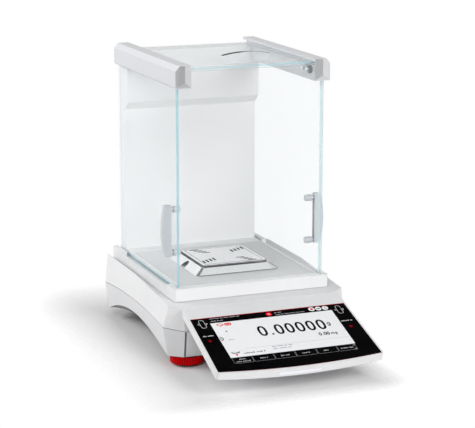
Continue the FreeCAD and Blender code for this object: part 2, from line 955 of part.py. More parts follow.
cut_box(deck, -s.floor_half - s.floor_groove, s.floor_half + s.floor_groove,
        -s.floor_front - s.floor_groove, s.floor_rear + s.floor_groove,
        s.deck_height - s.floor_sheet - 0.1, s.deck_height + 1)
cut_box(deck, -s.deck_half + 16, s.deck_half - 16, -s.floor_front + s.deck_wall,
        s.floor_rear - s.deck_wall, s.deck_seat - 1, s.ledge_height - 1)
cut_disc(deck, 0, s.pan_along, s.carrier_radius + 5, s.deck_seat, s.deck_height)
# Shadow joint where the deck stands on the base
rebate_top = s.deck_seat + s.deck_rebate
cut_box(deck, -s.deck_half - 1, s.deck_half + 1, -s.deck_front - 1,
        s.rebate_depth - s.deck_front, s.deck_seat - 1, rebate_top)
for left, right in ((-s.deck_half - 1, s.rebate_depth - s.deck_half),
                    (s.deck_half - s.rebate_depth, s.deck_half + 1)):
    cut_box(deck, left, right, -s.deck_front, s.deck_rear + 1, s.deck_seat - 1, rebate_top)
doc.recompute()
round_edges(deck, 2.5, lambda edge: along(edge, "z")
            and near(abs(edge.CenterOfMass.x), s.deck_half)
            and near(edge.CenterOfMass.y, -s.deck_front))

floor = new_body("floor_plate")
add_box(floor, -s.floor_half, s.floor_half, -s.floor_front, s.floor_rear,
        s.deck_height - s.floor_sheet - 0.1, s.deck_height - 0.1)
cut_disc(floor, 0, s.pan_along, s.carrier_radius + 2.5, s.deck_height - 5, s.deck_height + 1)


# Column behind the chamber, with a deeper upper part

column = new_body("column_shell")
flat = sketch(column, "YZ")
outline(flat, [
    (s.column_face, s.deck_height),
    (s.column_rear - s.column_wall, s.deck_height),
    (s.column_rear - s.column_wall, s.column_height),
    (s.bulge_face, s.column_height),
    (s.bulge_face, s.bulge_foot + s.bulge_slope),
    (s.column_face, s.bulge_foot),
])
pad(column, flat, s.column_half * 2, both_ways=True)
inner = s.column_wall
flat = sketch(column, "YZ")
outline(flat, [
    (s.column_face + inner, s.deck_height + inner),
    (s.column_rear, s.deck_height + inner),
    (s.column_rear, s.rail_foot - inner * 2),
    (s.bulge_face + inner, s.rail_foot - inner * 2),
    (s.bulge_face + inner, s.bulge_foot + s.bulge_slope + 1),
    (s.column_face + inner, s.bulge_foot + 1),
])
pocket(column, flat, (s.column_half - inner) * 2, both_ways=True)
neck = s.rail_inner - s.clearance
cut_box(column, -neck + inner, neck - inner, s.bulge_face + inner, s.column_rear,
        s.rail_foot - inner * 3, s.column_height - inner)
for side in (-1, 1):
    left, right = (neck, s.column_half + 5) if side > 0 else (-s.column_half - 5, -neck)
    cut_box(column, left, right, s.bulge_face - 5, s.column_rear, s.rail_foot, s.rail_height)

cover = new_body("column_cover")
flat = sketch(cover, "XZ", -s.column_rear)
outline(flat, [
    (-s.column_half, s.deck_height),
    (s.column_half, s.deck_height),
    (s.column_half, s.rail_foot),
    (neck, s.rail_foot),
    (neck, s.column_height),
    (-neck, s.column_height),
    (-neck, s.rail_foot),
    (-s.column_half, s.rail_foot),
])
pad(cover, flat, s.column_wall)


# Front glass, narrower where it stands between the rails

front_glass = new_body("front_glass")
flat = sketch(front_glass, "XZ", s.front_glass_face - s.glass_sheet)
throat = s.rail_inner - 1
outline(flat, [
    (-s.front_glass_half, s.glass_foot),
    (s.front_glass_half, s.glass_foot),
    (s.front_glass_half, s.rail_foot - 0.3),
    (throat, s.rail_foot - 0.3),
    (throat, s.column_height),
    (-throat, s.column_height),
    (-throat, s.rail_foot - 0.3),
    (-s.front_glass_half, s.rail_foot - 0.3),
])
pad(front_glass, flat, s.glass_sheet)


# Rails: each hangs a side door and guides one edge of the top door

door_middle = s.door_inside + s.door_sheet / 2
rail = new_body("right_rail")
flat = sketch(rail, "XZ", -s.rail_rear)
slot_top = s.rail_foot + s.slot_depth
channel_top = slot_top + s.channel_height
groove_top = s.top_groove_foot + s.top_groove_depth
outline(flat, [
    (s.rail_inner, s.rail_foot),
    (door_middle - s.slot_half_width, s.rail_foot),
    (door_middle - s.slot_half_width, slot_top),
    (door_middle - s.channel_half_width, slot_top),
    (door_middle - s.channel_half_width, channel_top),
    (door_middle + s.channel_half_width, channel_top),
    (door_middle + s.channel_half_width, slot_top),
    (door_middle + s.slot_half_width, slot_top),
    (door_middle + s.slot_half_width, s.rail_foot),
    (s.rail_outer - 1.5, s.rail_foot),
    (s.rail_outer, s.rail_foot + 2),
    (s.rail_outer, s.rail_height - 6),
    (s.rail_outer - 5, s.rail_height),
    (s.rail_inner, s.rail_height),
    (s.rail_inner, groove_top),
    (s.top_door_half + 0.4, groove_top),
    (s.top_door_half + 0.4, s.top_groove_foot),
    (s.rail_inner, s.top_groove_foot),
])
pad(rail, flat, s.rail_rear + s.rail_front)
for y in (s.clip_screw_front, s.clip_screw_rear):
    flat = sketch(rail, "YZ", s.rail_inner - 1)
    ring(flat, -y, s.clip_height, s.clip_screw_radius + 0.05)
    pocket(rail, flat, s.clip_screw_length + 1, up=True)
mirrored(rail, "left_rail")

cap = new_body("right_rail_cap")
flat = sketch(cap, "XY", s.rail_foot)
outline(flat, [
    (s.rail_inner, -s.rail_front),
    (s.rail_inner, -s.rail_front - 0.7),
    (s.cap_ridge, -s.rail_front - s.cap_depth),
    (s.rail_outer - 3.5, -s.rail_front - s.cap_depth * 0.45),
    (s.rail_outer, -s.rail_front - 0.4),
    (s.rail_outer, -s.rail_front),
])
pad(cap, flat, s.rail_height - s.rail_foot)
flat = sketch(cap, "YZ", s.rail_inner - 5)
outline(flat, [
    (-s.rail_front - 0.6, s.rail_foot - 1),
    (-s.rail_front - 0.6, s.rail_foot + 0.5),
    (-s.rail_front - s.cap_depth - 1, s.rail_foot + s.cap_bevel),
    (-s.rail_front - s.cap_depth - 1, s.rail_foot - 1),
])
pocket(cap, flat, 40, up=True)
flat = sketch(cap, "XZ", s.rail_front - 5)
outline(flat, [
    (s.rail_outer + 1, s.rail_height - 7.2),
    (s.rail_outer + 1, s.rail_height + 1),
    (s.rail_outer - 5.83, s.rail_height + 1),
])
pocket(cap, flat, 20, up=True)
mirrored(cap, "left_rail_cap")


def glass_clip(side):
    """Clear clip on the rail that holds the top of the front glass."""
    length = s.clip_rear - s.clip_front
    ends = [s.clip_rear + s.clip_half_height, s.clip_front - s.clip_half_height]
    x = s.rail_inner - s.clip_sheet if side > 0 else -s.rail_inner
    plate = block(x, x + s.clip_sheet, -s.clip_front + s.clip_half_height,
                  -s.clip_rear - s.clip_half_height,
                  s.clip_height - s.clip_half_height, s.clip_height + s.clip_half_height)
    rounds = [rod(s.clip_half_height, s.clip_sheet, x, -y, s.clip_height, "X") for y in ends]
    notch_x = x - 1 if side > 0 else x + 0.8
    notch = block(notch_x, notch_x + s.clip_sheet + 0.2,
                  -s.front_glass_face - 0.1, -s.front_glass_face + s.glass_sheet + 0.1,
                  s.clip_height - 10, s.clip_height + 10)
    holes = [rod(s.clip_screw_radius + 0.05, s.clip_sheet + 2, x - 1, -y, s.clip_height, "X")
             for y in (s.clip_screw_front, s.clip_screw_rear)]
    return cut(fused([plate] + rounds), [notch] + holes)


piece(group([glass_clip(1), glass_clip(-1)]), "glass_clips")

screws = []
for side in (-1, 1):
    for y in (s.clip_screw_front, s.clip_screw_rear):
        head_x = s.rail_inner - s.clip_sheet - 1.5
        head_left = head_x if side > 0 else -head_x - 1.5
        shaft_left = head_x + 1.5 if side > 0 else -head_x - 1.5 - s.clip_sheet - s.clip_screw_length
        screws.append(fused([
            rod(s.clip_screw_radius * 1.6, 1.5, head_left, -y, s.clip_height, "X"),
            rod(s.clip_screw_radius, s.clip_sheet + s.clip_screw_length, shaft_left, -y,
                s.clip_height, "X"),
        ]))
piece(group(screws), "clip_screws")


# Side doors: the glass hangs from a runner in the rail

door = new_body("right_door_glass")
add_box(door, s.door_inside, s.door_inside + s.door_sheet, -s.door_front, s.door_rear,
        s.door_foot, slot_top - 1.5)
grip_middle = -s.grip_front + s.grip_sheet / 2
studs = (s.grip_foot + s.lug_radius, s.grip_top - s.lug_radius - 1.5)
for z in studs:
    flat = sketch(door, "YZ", s.door_inside - 1)
    ring(flat, grip_middle, z, s.stud_radius + 0.1)
    pocket(door, flat, s.door_sheet + 2, up=True)
mirrored(door, "left_door_glass")

runner = new_body("right_door_runner")
reach = s.channel_half_width - s.clearance
add_box(runner, door_middle - reach, door_middle + reach, -s.door_front + 5, s.runner_rear,
        slot_top + s.clearance, channel_top - s.clearance)
add_box(runner, s.door_inside, s.door_inside + s.door_sheet, -s.door_front + 5, s.runner_rear,
        slot_top - 1.5, slot_top + s.clearance)
mirrored(runner, "left_door_runner")

grip = new_body("right_door_handle")
grip_start = s.door_inside + s.door_sheet
bow = s.grip_bow - s.grip_reach
grip_chord = (s.grip_top - s.grip_foot) / 2
flat = sketch(grip, "XZ", s.grip_front - s.grip_sheet)
outline(flat, [
    (grip_start, s.grip_foot),
    (grip_start + s.grip_reach, s.grip_foot,
     (grip_chord * grip_chord + bow * bow) / (bow * 2), 1),
    (grip_start + s.grip_reach, s.grip_top),
    (grip_start, s.grip_top),
])
pad(grip, flat, s.grip_sheet)
round_edges(grip, 1.2, lambda edge: near(edge.BoundBox.XLength, s.grip_reach)
            and edge.BoundBox.ZLength < 0.1)
for z in studs:
    flat = sketch(grip, "YZ", s.door_inside - s.lug_reach + 2)
    ring(flat, grip_middle, z, s.stud_radius)
    pad(grip, flat, s.door_sheet + s.lug_reach)
mirrored(grip, "left_door_handle")

for side, label in ((1, "right_door_lugs"), (-1, "left_door_lugs")):
    lugs = []
    for z in studs:
        x = s.door_inside - s.lug_reach if side > 0 else -s.door_inside
        hole_x = x + 2 if side > 0 else x - 1
        lugs.append(cut(
            rod(s.lug_radius, s.lug_reach, x, grip_middle, z, "X"),
            [rod(s.stud_radius + 0.05, s.lug_reach - 1, hole_x, grip_middle, z, "X")]))
    piece(group(lugs), label)


# Top door

top_door = new_body("top_door_glass")
top_glass_foot = s.top_groove_foot + s.clearance
add_box(top_door, -s.top_door_half, s.top_door_half, -s.top_door_front, s.top_door_rear,
        top_glass_foot, top_glass_foot + s.glass_sheet)

arch = new_body("top_door_handle")
flat = sketch(arch, "XZ", -s.handle_along - s.handle_sheet / 2)
half_handle = s.handle_width / 2
handle_foot = top_glass_foot + s.glass_sheet
outline(flat, [
    (-half_handle, handle_foot),
    (half_handle, handle_foot),
    (half_handle, handle_foot + s.handle_rise,
     (half_handle * half_handle + s.handle_crown * s.handle_crown) / (s.handle_crown * 2), 1),
    (-half_handle, handle_foot + s.handle_rise),
])
pad(arch, flat, s.handle_sheet)
round_edges(arch, 1.5, lambda edge: along(edge, "z"))


# Weighing pan with slots in its corners, and the support under it

pan = new_body("weighing_pan")
half_pan = s.pan_width / 2
pan_foot = s.pan_height - s.pan_sheet
add_box(pan, -half_pan, half_pan, s.pan_along - half_pan, s.pan_along + half_pan,
        pan_foot, s.pan_height)
round_edges(pan, s.pan_corner, lambda edge: along(edge, "z"))
for step in range(4):
    # One slot of the row in the rear right quarter, and its turns into the other three
    near_x = s.pan_slot_start + s.pan_slot_pitch * step
    far_x = near_x + s.pan_slot_width
    near_y = s.pan_slot_inner + s.pan_slot_stagger * step
    far_y = near_y + s.pan_slot_length
    for left, right, front, rear in ((near_x, far_x, near_y, far_y),
                                     (-far_y, -near_y, near_x, far_x),
                                     (-far_x, -near_x, -far_y, -near_y),
                                     (near_y, far_y, -far_x, -near_x)):
        cut_box(pan, left, right, s.pan_along + front, s.pan_along + rear,
                pan_foot - 1, s.pan_height + 1)
flat = sketch(pan, "XY", s.pan_height + 1)
for inset in (s.pan_border, s.pan_border + s.pan_groove_width):
    reach = half_pan - inset
    rectangle(flat, -reach, reach, s.pan_along - reach, s.pan_along + reach)
pocket(pan, flat, s.pan_groove_depth + 1)

support = new_body("pan_support")
add_disc(support, 0, s.pan_along, s.carrier_radius + 3, s.deck_height + 1.2, pan_foot)
for wide, deep in ((30, 3), (3, 30)):
    add_box(support, -wide, wide, s.pan_along - deep, s.pan_along + deep, pan_foot - 2.5, pan_foot)
cut_disc(support, 0, s.pan_along, s.carrier_radius + 0.05, s.deck_height, s.carrier_height + 0.1)


# Draught skirt around the pan, open at the middle of each side

skirt = new_body("draft_skirt")
skirt_foot = s.deck_height + 0.1
for kind, shrink in (("AdditiveLoft", 0), ("SubtractiveLoft", s.skirt_sheet)):
    flats = []
    for z, wide, deep, corner in ((skirt_foot, s.skirt_width, s.skirt_depth, s.skirt_corner),
                                  (s.skirt_height, s.skirt_opening + s.skirt_sheet * 2,
                                   s.skirt_opening + s.skirt_sheet * 2, s.skirt_corner_top)):
        flat = sketch(skirt, "XY", z)
        right = wide / 2 - shrink
        front = s.pan_along - deep / 2 + shrink
        rear = s.pan_along + deep / 2 - shrink
        # The folded corners are cut off at 45 degrees
        fold = corner - shrink * 0.586
        outline(flat, [
            (fold - right, front), (right - fold, front), (right, front + fold),
            (right, rear - fold), (right - fold, rear), (fold - right, rear),
            (-right, rear - fold), (-right, front + fold),
        ])
        flats.append(flat)
    loft(skirt, kind, flats)
flat = sketch(skirt, "YZ")
ring(flat, s.pan_along, skirt_foot, s.skirt_arch_radius)
pocket(skirt, flat, s.skirt_width * 2, both_ways=True)


# Levelling feet: a wheel with a threaded stem turns in a bush and lifts the base

for side, name in ((-1, "left"), (1, "right")):
    x = s.foot_across * side
    y = -s.foot_along
    wheel = new_body(name + "_foot_wheel")
    add_disc(wheel, x, y, s.wheel_radius, s.wheel_foot, s.wheel_foot + s.wheel_height)
    round_edges(wheel, 0.8, lambda edge: near(edge.Length, s.wheel_radius * 2 * math.pi),
                kind="Chamfer")
    add_disc(wheel, x, y, s.stem_radius, s.wheel_foot + 1, s.wheel_foot + s.wheel_height
             + s.stem_length)
    cut_disc(wheel, x, y, s.pivot_radius + s.running_gap, s.wheel_foot - 1, s.pivot_height + 0.1)
    notch = sketch(wheel, "XY", s.wheel_foot + s.wheel_height + 1)
    ring(notch, x + s.wheel_radius + s.notch_rim, y, s.wheel_notch)
    rib = pocket(wheel, notch, s.wheel_height + 2)
    ribs = wheel.newObject("PartDesign::PolarPattern", name + "_ribs")
    ribs.Originals = [rib]
    pin = sketch(wheel, "XY")
    ring(pin, x, y, 1)
    pin.Visibility = False
    ribs.Axis = (pin, ["N_Axis"])
    ribs.Angle = 360
    ribs.setExpression("Occurrences", "Sizes.wheel_ribs")
    wheel.Tip = ribs

    foot = new_body(name + "_foot_pad")
    add_disc(foot, x, y, s.pad_radius, 0, s.wheel_foot - 0.3)
    round_edges(foot, 0.6, lambda edge: near(edge.Length, s.pad_radius * 2 * math.pi),
                kind="Chamfer")
    add_disc(foot, x, y, s.pivot_radius, 1, s.pivot_height)

bushes = []
for side in (-1, 1):
    x = s.foot_across * side
    z = s.foot_edge_height + 0.5
    bushes.append(cut(
        rod(s.bush_radius, s.bush_top - z, x, -s.foot_along, z),
        [rod(s.stem_radius + s.running_gap, s.bush_top + 1, x, -s.foot_along, 0)]))
piece(group(bushes), "foot_bushes")

rear_feet = []
for side in (-1, 1):
    x = s.rear_foot_across * side
    rear_feet.append(fused([
        cone(s.rear_foot_radius - 1, s.rear_foot_radius, 3, x, s.rear_foot_along, 0),
        rod(s.rear_foot_radius, s.foot_edge_height - 3, x, s.rear_foot_along, 3),
        rod(s.rear_spigot_radius, tray_floor - 0.1, x, s.rear_foot_along, 0),
    ]))
piece(group(rear_feet), "rear_feet")

base_screws = []
for side in (-1, 1):
    for x, y in BASE_SCREWS:
        base_screws.append(fused([
            rod(s.bolt_head_radius, s.bolt_head_height, x * side, y, s.screw_head_foot),
            rod(s.bolt_radius, s.bolt_head_height + s.bolt_length, x * side, y,
                s.screw_head_foot),
        ]))
piece(group(base_screws), "base_screws")


# Terminal, drawn flat with its glass facing up and then tilted towards the user

def tilted(item):
    """Place a terminal piece: origin at the middle of the glass's upper edge."""
    item.Placement = FreeCAD.Placement(
        FreeCAD.Vector(0, -1, 0), FreeCAD.Rotation(FreeCAD.Vector(1, 0, 0), 18))
    bind(item, "Placement.Base.y", -s.terminal_along)
    bind(item, "Placement.Base.z", s.terminal_height)
    item.setExpression("Placement.Rotation.Angle", "Sizes.tilt * 1 deg")
    return item


def half_width_at(y, margin):
    """Half the width of the terminal, which widens towards the user."""
    widen = (s.screen_glass_foot - s.screen_glass_top) / s.screen_glass_length
    return s.screen_glass_top + margin - widen * y


def bow_radius(half, bow):
    return (half * half + bow * bow) / (bow * 2)


def panel_outline(flat, top, foot, margin, bow):
    low = half_width_at(foot, margin)
    high = half_width_at(top, margin)
    outline(flat, [
        (-low, foot, bow_radius(low, bow), 1),
        (low, foot),
        (high, top),
        (-high, top),
    ])


glass_end = -s.screen_glass_length
frame_end = glass_end - s.bezel_chin
frame = new_body("terminal_housing")
flat = sketch(frame, "XY", -s.bezel_depth)
panel_outline(flat, s.bezel_brow, frame_end, s.bezel_margin, s.bezel_bow)
pad(frame, flat, s.bezel_depth)
round_edges(frame, 4, lambda edge: along(edge, "z") and edge.CenterOfMass.y < -50)
flat = sketch(frame, "YZ")
lean = tangent(s.tilt)
outline(flat, [
    (s.bezel_brow + lean, 1),
    (s.bezel_brow - lean * (s.bezel_depth + 1), -s.bezel_depth - 1),
    (s.bezel_brow + 12, -s.bezel_depth - 1),
    (s.bezel_brow + 12, 1),
])
pocket(frame, flat, s.screen_glass_foot * 3, both_ways=True)
flat = sketch(frame, "XY", 0.5)
panel_outline(flat, s.glass_gap, glass_end - s.glass_gap, s.glass_gap, s.screen_glass_bow)
pocket(frame, flat, s.screen_glass_sheet + 0.5)
cut_box(frame, -s.display_half - 0.2, s.display_half + 0.2, -s.display_length - 0.2,
        -s.display_start + 0.2, -s.bezel_depth - 1, 0)
cut_box(frame, s.light_middle - s.light_half - 0.1, s.light_middle + s.light_half + 0.1,
        frame_end - s.bezel_bow - 2, glass_end - s.screen_glass_bow,
        -s.light_foot - 0.1, -s.light_foot + s.light_height + 0.1)
for side in (-1, 1):
    cut_disc(frame, s.hook_across * side, s.hook_up, s.bolt_radius + 0.05,
             -s.bezel_depth - 1, -s.bezel_depth + 5.5)
tilted(frame)

glass = new_body("touch_glass")
flat = sketch(glass, "XY", -s.screen_glass_sheet)
panel_outline(flat, 0, glass_end, 0, s.screen_glass_bow)
pad(glass, flat, s.screen_glass_sheet)
tilted(glass)

display = new_body("display_panel")
add_box(display, -s.display_half, s.display_half, -s.display_length, -s.display_start,
        -s.screen_glass_sheet - s.display_depth, -s.screen_glass_sheet)
tilted(display)

light = new_body("status_light")
radius = bow_radius(half_width_at(frame_end, s.bezel_margin), s.bezel_bow)
centre = frame_end - s.bezel_bow + radius
left = s.light_middle - s.light_half
right = s.light_middle + s.light_half
flat = sketch(light, "XY", -s.light_foot)
outline(flat, [
    (left, centre - root(radius * radius - left * left), radius, 1),
    (right, centre - root(radius * radius - right * right)),
    (right, glass_end - s.screen_glass_bow),
    (left, glass_end - s.screen_glass_bow),
])
pad(light, flat, s.light_height)
tilted(light)

back = new_body("terminal_back")
back_foot = -s.bezel_depth - s.back_depth
wall = s.bezel_wall
add_box(back, -s.back_half, s.back_half, -s.back_length, -s.back_top, back_foot, -s.bezel_depth)
doc.recompute()
round_edges(back, 5, lambda edge: along(edge, "z"))
round_edges(back, 2.5, lambda edge: near(edge.CenterOfMass.z, back_foot)
            and near(edge.BoundBox.ZLength, 0), kind="Chamfer")
cut_box(back, -s.back_half + wall + 2, s.back_half - wall - 2, -s.back_length + wall + 2,
        -s.back_top - wall - 1, back_foot + wall, -s.bezel_depth + 1)
cut_box(back, -s.cable_half - 0.2, s.cable_half + 0.2, -s.back_top - 6, -s.back_top + 1,
        s.cable_level - 0.2, s.cable_level + 1.2)
tilted(back)

board = new_body("terminal_board")
board_top = -s.bezel_depth - 0.5
add_box(board, -s.back_half + 10, s.back_half - 10, -s.back_length + 10, -s.back_top - 8,
        board_top - s.board_sheet, board_top)
add_box(board, -s.plug_half, s.plug_half, -s.back_length + s.plug_margin,
        -s.back_length + s.plug_margin + s.plug_half * 2,
        board_top, -s.screen_glass_sheet - s.display_depth)
tilted(board)

cable = new_body("terminal_cable")
add_box(cable, -s.cable_half, s.cable_half, -s.back_top - 5, s.cable_end,
        s.cable_level, s.cable_level + 1)
tilted(cable)

# Bracket between the base's front wall and the underside of the terminal
block_body = hidden_body("bracket_block")
flat = sketch(block_body, "YZ")
turn_sine = sine(s.tilt)
turn_cosine = cosine(s.tilt)


def leaned(y, z):
    """A point of the standing balance in the terminal's own tilted frame."""
    out = y + s.terminal_along
    up = z - s.terminal_height
    return out * turn_cosine + up * turn_sine, up * turn_cosine - out * turn_sine


wall_out = s.terminal_along - s.base_front
foot_y, foot_z = leaned(-s.base_front, s.bracket_foot)
head_y = (wall_out - s.bezel_depth * turn_sine) / turn_cosine
outline(flat, [
    (-s.back_top + 0.2, -s.bezel_depth),
    (-s.back_top + 0.2, -s.bezel_depth - s.bracket_nose),
    (foot_y, foot_z),
    (head_y, -s.bezel_depth),
])
pad(block_body, flat, s.bracket_half * 2, both_ways=True)
cut_box(block_body, -s.cable_half - 0.5, s.cable_half + 0.5, -s.back_top - 2, s.cable_end + 10,
        s.cable_level - 0.5, s.cable_level + 1.5)
for side in (-1, 1):
    cut_disc(block_body, s.hook_across * side, s.hook_up, s.bolt_radius + 0.05,
             -s.bezel_depth - 30, -s.bezel_depth + 1)
    cut_disc(block_body, s.hook_across * side, s.hook_up, s.bolt_head_radius + 0.4,
             -s.bezel_depth - 30, -s.bezel_depth - 5)
tilted(block_body)
wall_bores = [rod(s.bolt_radius + 0.05, s.bracket_bolt_reach + 1, s.bracket_bolt_across * side,
                  -s.base_front - s.bracket_bolt_reach - 1, s.bracket_bolt_height, "Y")
              for side in (-1, 1)]
piece(cut(block_body, wall_bores), "terminal_bracket")

bracket_bolts = []
for side in (-1, 1):
    x = s.bracket_bolt_across * side
    inside = front_at(s.nose_half + 0.5) + s.base_wall + 1.5
    bracket_bolts.append(fused([
        rod(s.bolt_head_radius, s.bolt_head_height, x, inside, s.bracket_bolt_height, "Y"),
        rod(s.bolt_radius, s.bracket_bolt_reach + s.base_wall + 3, x,
            -s.base_front - s.bracket_bolt_reach, s.bracket_bolt_height, "Y"),
    ]))
hook_bolts = []
for side in (-1, 1):
    head = rod(s.bolt_head_radius, s.bolt_head_height, s.hook_across * side, s.hook_up,
               -s.bezel_depth - 5 - s.bolt_head_height)
    shaft = rod(s.bolt_radius, 9.5 + s.bolt_head_height, s.hook_across * side, s.hook_up,
                -s.bezel_depth - 5 - s.bolt_head_height)
    hook_bolts.append(fused([head, shaft]))
piece(group(bracket_bolts + [tilted(group(hook_bolts))]), "terminal_screws")


# Chassis and weigh cell inside the base

chassis = new_body("chassis_plate")
chassis_top = tray_floor + s.chassis_sheet
add_box(chassis, -s.chassis_half, s.chassis_half, -s.chassis_front, s.chassis_rear,
        tray_floor, chassis_top)
cut_disc(chassis, 0, s.pan_along, s.hook_hole_radius, tray_floor - 1, chassis_top + 1)

cell = new_body("weigh_cell_block")
cell_rear = s.cell_rear
add_box(cell, -s.cell_half, s.cell_half, s.cell_front, cell_rear, chassis_top, s.cell_height)
# The front end hangs free of the chassis on the flexures
cut_box(cell, -s.cell_half - 1, s.cell_half + 1, s.cell_front - 1, s.cell_column,
        chassis_top - 1, chassis_top + 2)
upper_slot = s.cell_height - 5
lower_slot = chassis_top + 7
slot = s.cell_slot
slot_start = s.cell_front + 6
slot_end = s.cell_column + 4
for z in (lower_slot, upper_slot - slot):
    flat = sketch(cell, "YZ")
    rectangle(flat, slot_start, slot_end, z, z + slot)
    pocket(cell, flat, s.cell_half * 4, both_ways=True)
    for y in (slot_start, slot_end):
        flat = sketch(cell, "YZ")
        ring(flat, y, z + slot / 2, 5 - s.hinge_web - slot / 2)
        pocket(cell, flat, s.cell_half * 4, both_ways=True)
flat = sketch(cell, "YZ")
rectangle(flat, s.cell_receptor, s.cell_receptor + slot, lower_slot + 1, upper_slot - 1)
pocket(cell, flat, s.cell_half * 4, both_ways=True)
flat = sketch(cell, "YZ")
rectangle(flat, s.cell_receptor + 1, s.cell_column - 6, s.lever_slot, s.lever_slot + slot)
pocket(cell, flat, s.cell_half * 4, both_ways=True)
cut_box(cell, -8, 8, s.cell_column, cell_rear + 1, s.lever_slot + 6, s.cell_height + 1)
cut_disc(cell, 0, s.pan_along, s.carrier_radius - 1.5, s.cell_height - 8, s.cell_height + 1)
cut_disc(cell, 0, s.pan_along, s.carrier_radius, chassis_top - 1, chassis_top + 4)

carrier = new_body("pan_carrier")
add_disc(carrier, 0, s.pan_along, s.carrier_radius + 3.5, s.cell_height, s.cell_height + 3)
add_disc(carrier, 0, s.pan_along, s.carrier_radius, s.cell_height + 3, s.carrier_height)
add_disc(carrier, 0, s.pan_along, s.carrier_radius - 1.55, s.cell_height - 7, s.cell_height + 1)

lever = new_body("coil_lever")
lever_foot = s.cell_height - 7.5
add_box(lever, -4, 4, s.cell_column, s.magnet_along + s.magnet_radius - 4,
        lever_foot, lever_foot + 4)
add_box(lever, -0.8, 0.8, s.magnet_along + s.magnet_radius - 6, s.sensor_along + 6,
        lever_foot, lever_foot + 4)
add_disc(lever, 0, s.magnet_along, s.coil_radius + 1.5, lever_foot - 12, lever_foot + 1)
cut_disc(lever, 0, s.magnet_along, s.coil_radius - 1.5, lever_foot - 13, lever_foot - 2)

magnet = new_body("magnet_pot")
magnet_top = lever_foot - 3
add_disc(magnet, 0, s.magnet_along, s.magnet_radius, chassis_top, magnet_top)
cut_disc(magnet, 0, s.magnet_along, s.coil_radius + 2.5, magnet_top - 14, magnet_top + 1)
add_disc(magnet, 0, s.magnet_along, s.coil_radius - 2.5, magnet_top - 15, magnet_top)

sensor = new_body("position_sensor")
add_box(sensor, -7, 7, s.sensor_along, s.sensor_along + 7, chassis_top, lever_foot + 7)
cut_box(sensor, -1.8, 1.8, s.sensor_along - 1, s.sensor_along + 8, lever_foot - 3, lever_foot + 8)


# Calibration: a screw lowers two weights onto rests at the free end of the cell

lifter = new_body("weight_lifter")
bridge = s.lifter_height - s.lifter_sheet
add_box(lifter, -s.weight_across - 13, s.screw_across + 7, s.pan_along - 12, s.pan_along + 12,
        bridge, s.lifter_height)
add_disc(lifter, s.screw_across, s.pan_along, 5, bridge - 6, bridge + 1)
for side in (-1, 1):
    for inner_end, outer_end in ((s.weight_across - 11.5, s.weight_across - 8.5),
                                 (s.weight_across + 8.5, s.weight_across + 11.5)):
        left, right = (inner_end, outer_end) if side > 0 else (-outer_end, -inner_end)
        add_box(lifter, left, right, s.pan_along - 7, s.pan_along + 7,
                s.weight_height - 7, bridge + 1)
flat = sketch(lifter, "YZ")
ring(flat, s.pan_along, s.weight_height, s.journal_radius + 0.05)
pocket(lifter, flat, s.weight_across * 2 + 40, both_ways=True)
cut_disc(lifter, 0, s.pan_along, s.carrier_radius + 5, bridge - 1, s.lifter_height + 1)
cut_disc(lifter, s.screw_across, s.pan_along, s.screw_radius + s.running_gap,
         bridge - 8, s.lifter_height + 1)

weights = []
for side in (-1, 1):
    middle = s.weight_across * side
    weights.append(fused([
        rod(s.weight_radius, s.weight_length, middle - s.weight_length / 2, s.pan_along,
            s.weight_height, "X"),
        rod(s.journal_radius, s.weight_length + s.journal_length * 2,
            middle - s.weight_length / 2 - s.journal_length, s.pan_along,
            s.weight_height, "X"),
    ]))
piece(group(weights), "calibration_weights")

rests = []
rest_top = s.weight_height - s.weight_radius - 3.1
for side in (-1, 1):
    left, right = (s.cell_half, s.weight_across + 7)
    if side < 0:
        left, right = (-right, -left)
    rests.append(block(left, right, s.pan_along - 4, s.pan_along + 4, rest_top - 7, rest_top))
piece(group(rests), "weight_rests")

motor = new_body("calibration_motor")
motor_top = chassis_top + s.motor_height
add_disc(motor, s.screw_across, s.pan_along, s.motor_radius, chassis_top, motor_top)
cut_disc(motor, s.screw_across, s.pan_along, s.screw_radius + s.running_gap,
         motor_top - 8, motor_top + 1)

screw = new_body("lifter_screw")
add_disc(screw, s.screw_across, s.pan_along, s.screw_radius, motor_top - 7.9,
         s.lifter_height + 1.5)


# Electronics and the ports at the rear

main = new_body("main_board")
board_foot = chassis_top + s.board_lift
board_left = -s.chassis_half + 1
board_right = -s.cell_half - s.board_gap
board_front = s.pan_along + 22
board_rear = s.chassis_rear - 2
add_box(main, board_left, board_right, board_front, board_rear, board_foot,
        board_foot + s.board_sheet)
for index in range(3):
    chip_left = board_left + s.board_gap
    chip_front = board_front + 8 + s.chip_pitch * index
    add_box(main, chip_left, chip_left + s.chip_side, chip_front, chip_front + s.chip_side,
            board_foot + 1, board_foot + s.board_sheet + s.chip_height)
for x in (board_left + 4, board_right - 4):
    for y in (board_front + 4, board_rear - 4):
        add_disc(chassis, x, y, 3, chassis_top - 1, board_foot)

port_board = new_body("port_board")
add_box(port_board, -s.port_half, s.port_half, s.port_board_along,
        s.port_board_along + s.board_sheet, s.port_foot - 2, port_roof + 12)

port_face = s.port_board_along + s.board_sheet
plate_rear = s.base_rear - s.rear_wall
plate_front = plate_rear - 1.5
port_plate = new_body("port_plate")
add_box(port_plate, -s.port_half - 4, s.port_half + 4, plate_front, plate_rear,
        s.port_foot - 4, port_roof + 4)
PORTS = {"dc_jack": (-62, 9), "serial_port": (-42, 30), "usb_port": (8, 14),
         "host_port": (34, 12)}
for left, wide in PORTS.values():
    cut_box(port_plate, left - 0.2, left + wide + 0.2, plate_front - 1, plate_rear + 1,
            s.port_foot - 0.2, port_roof + 0.2)

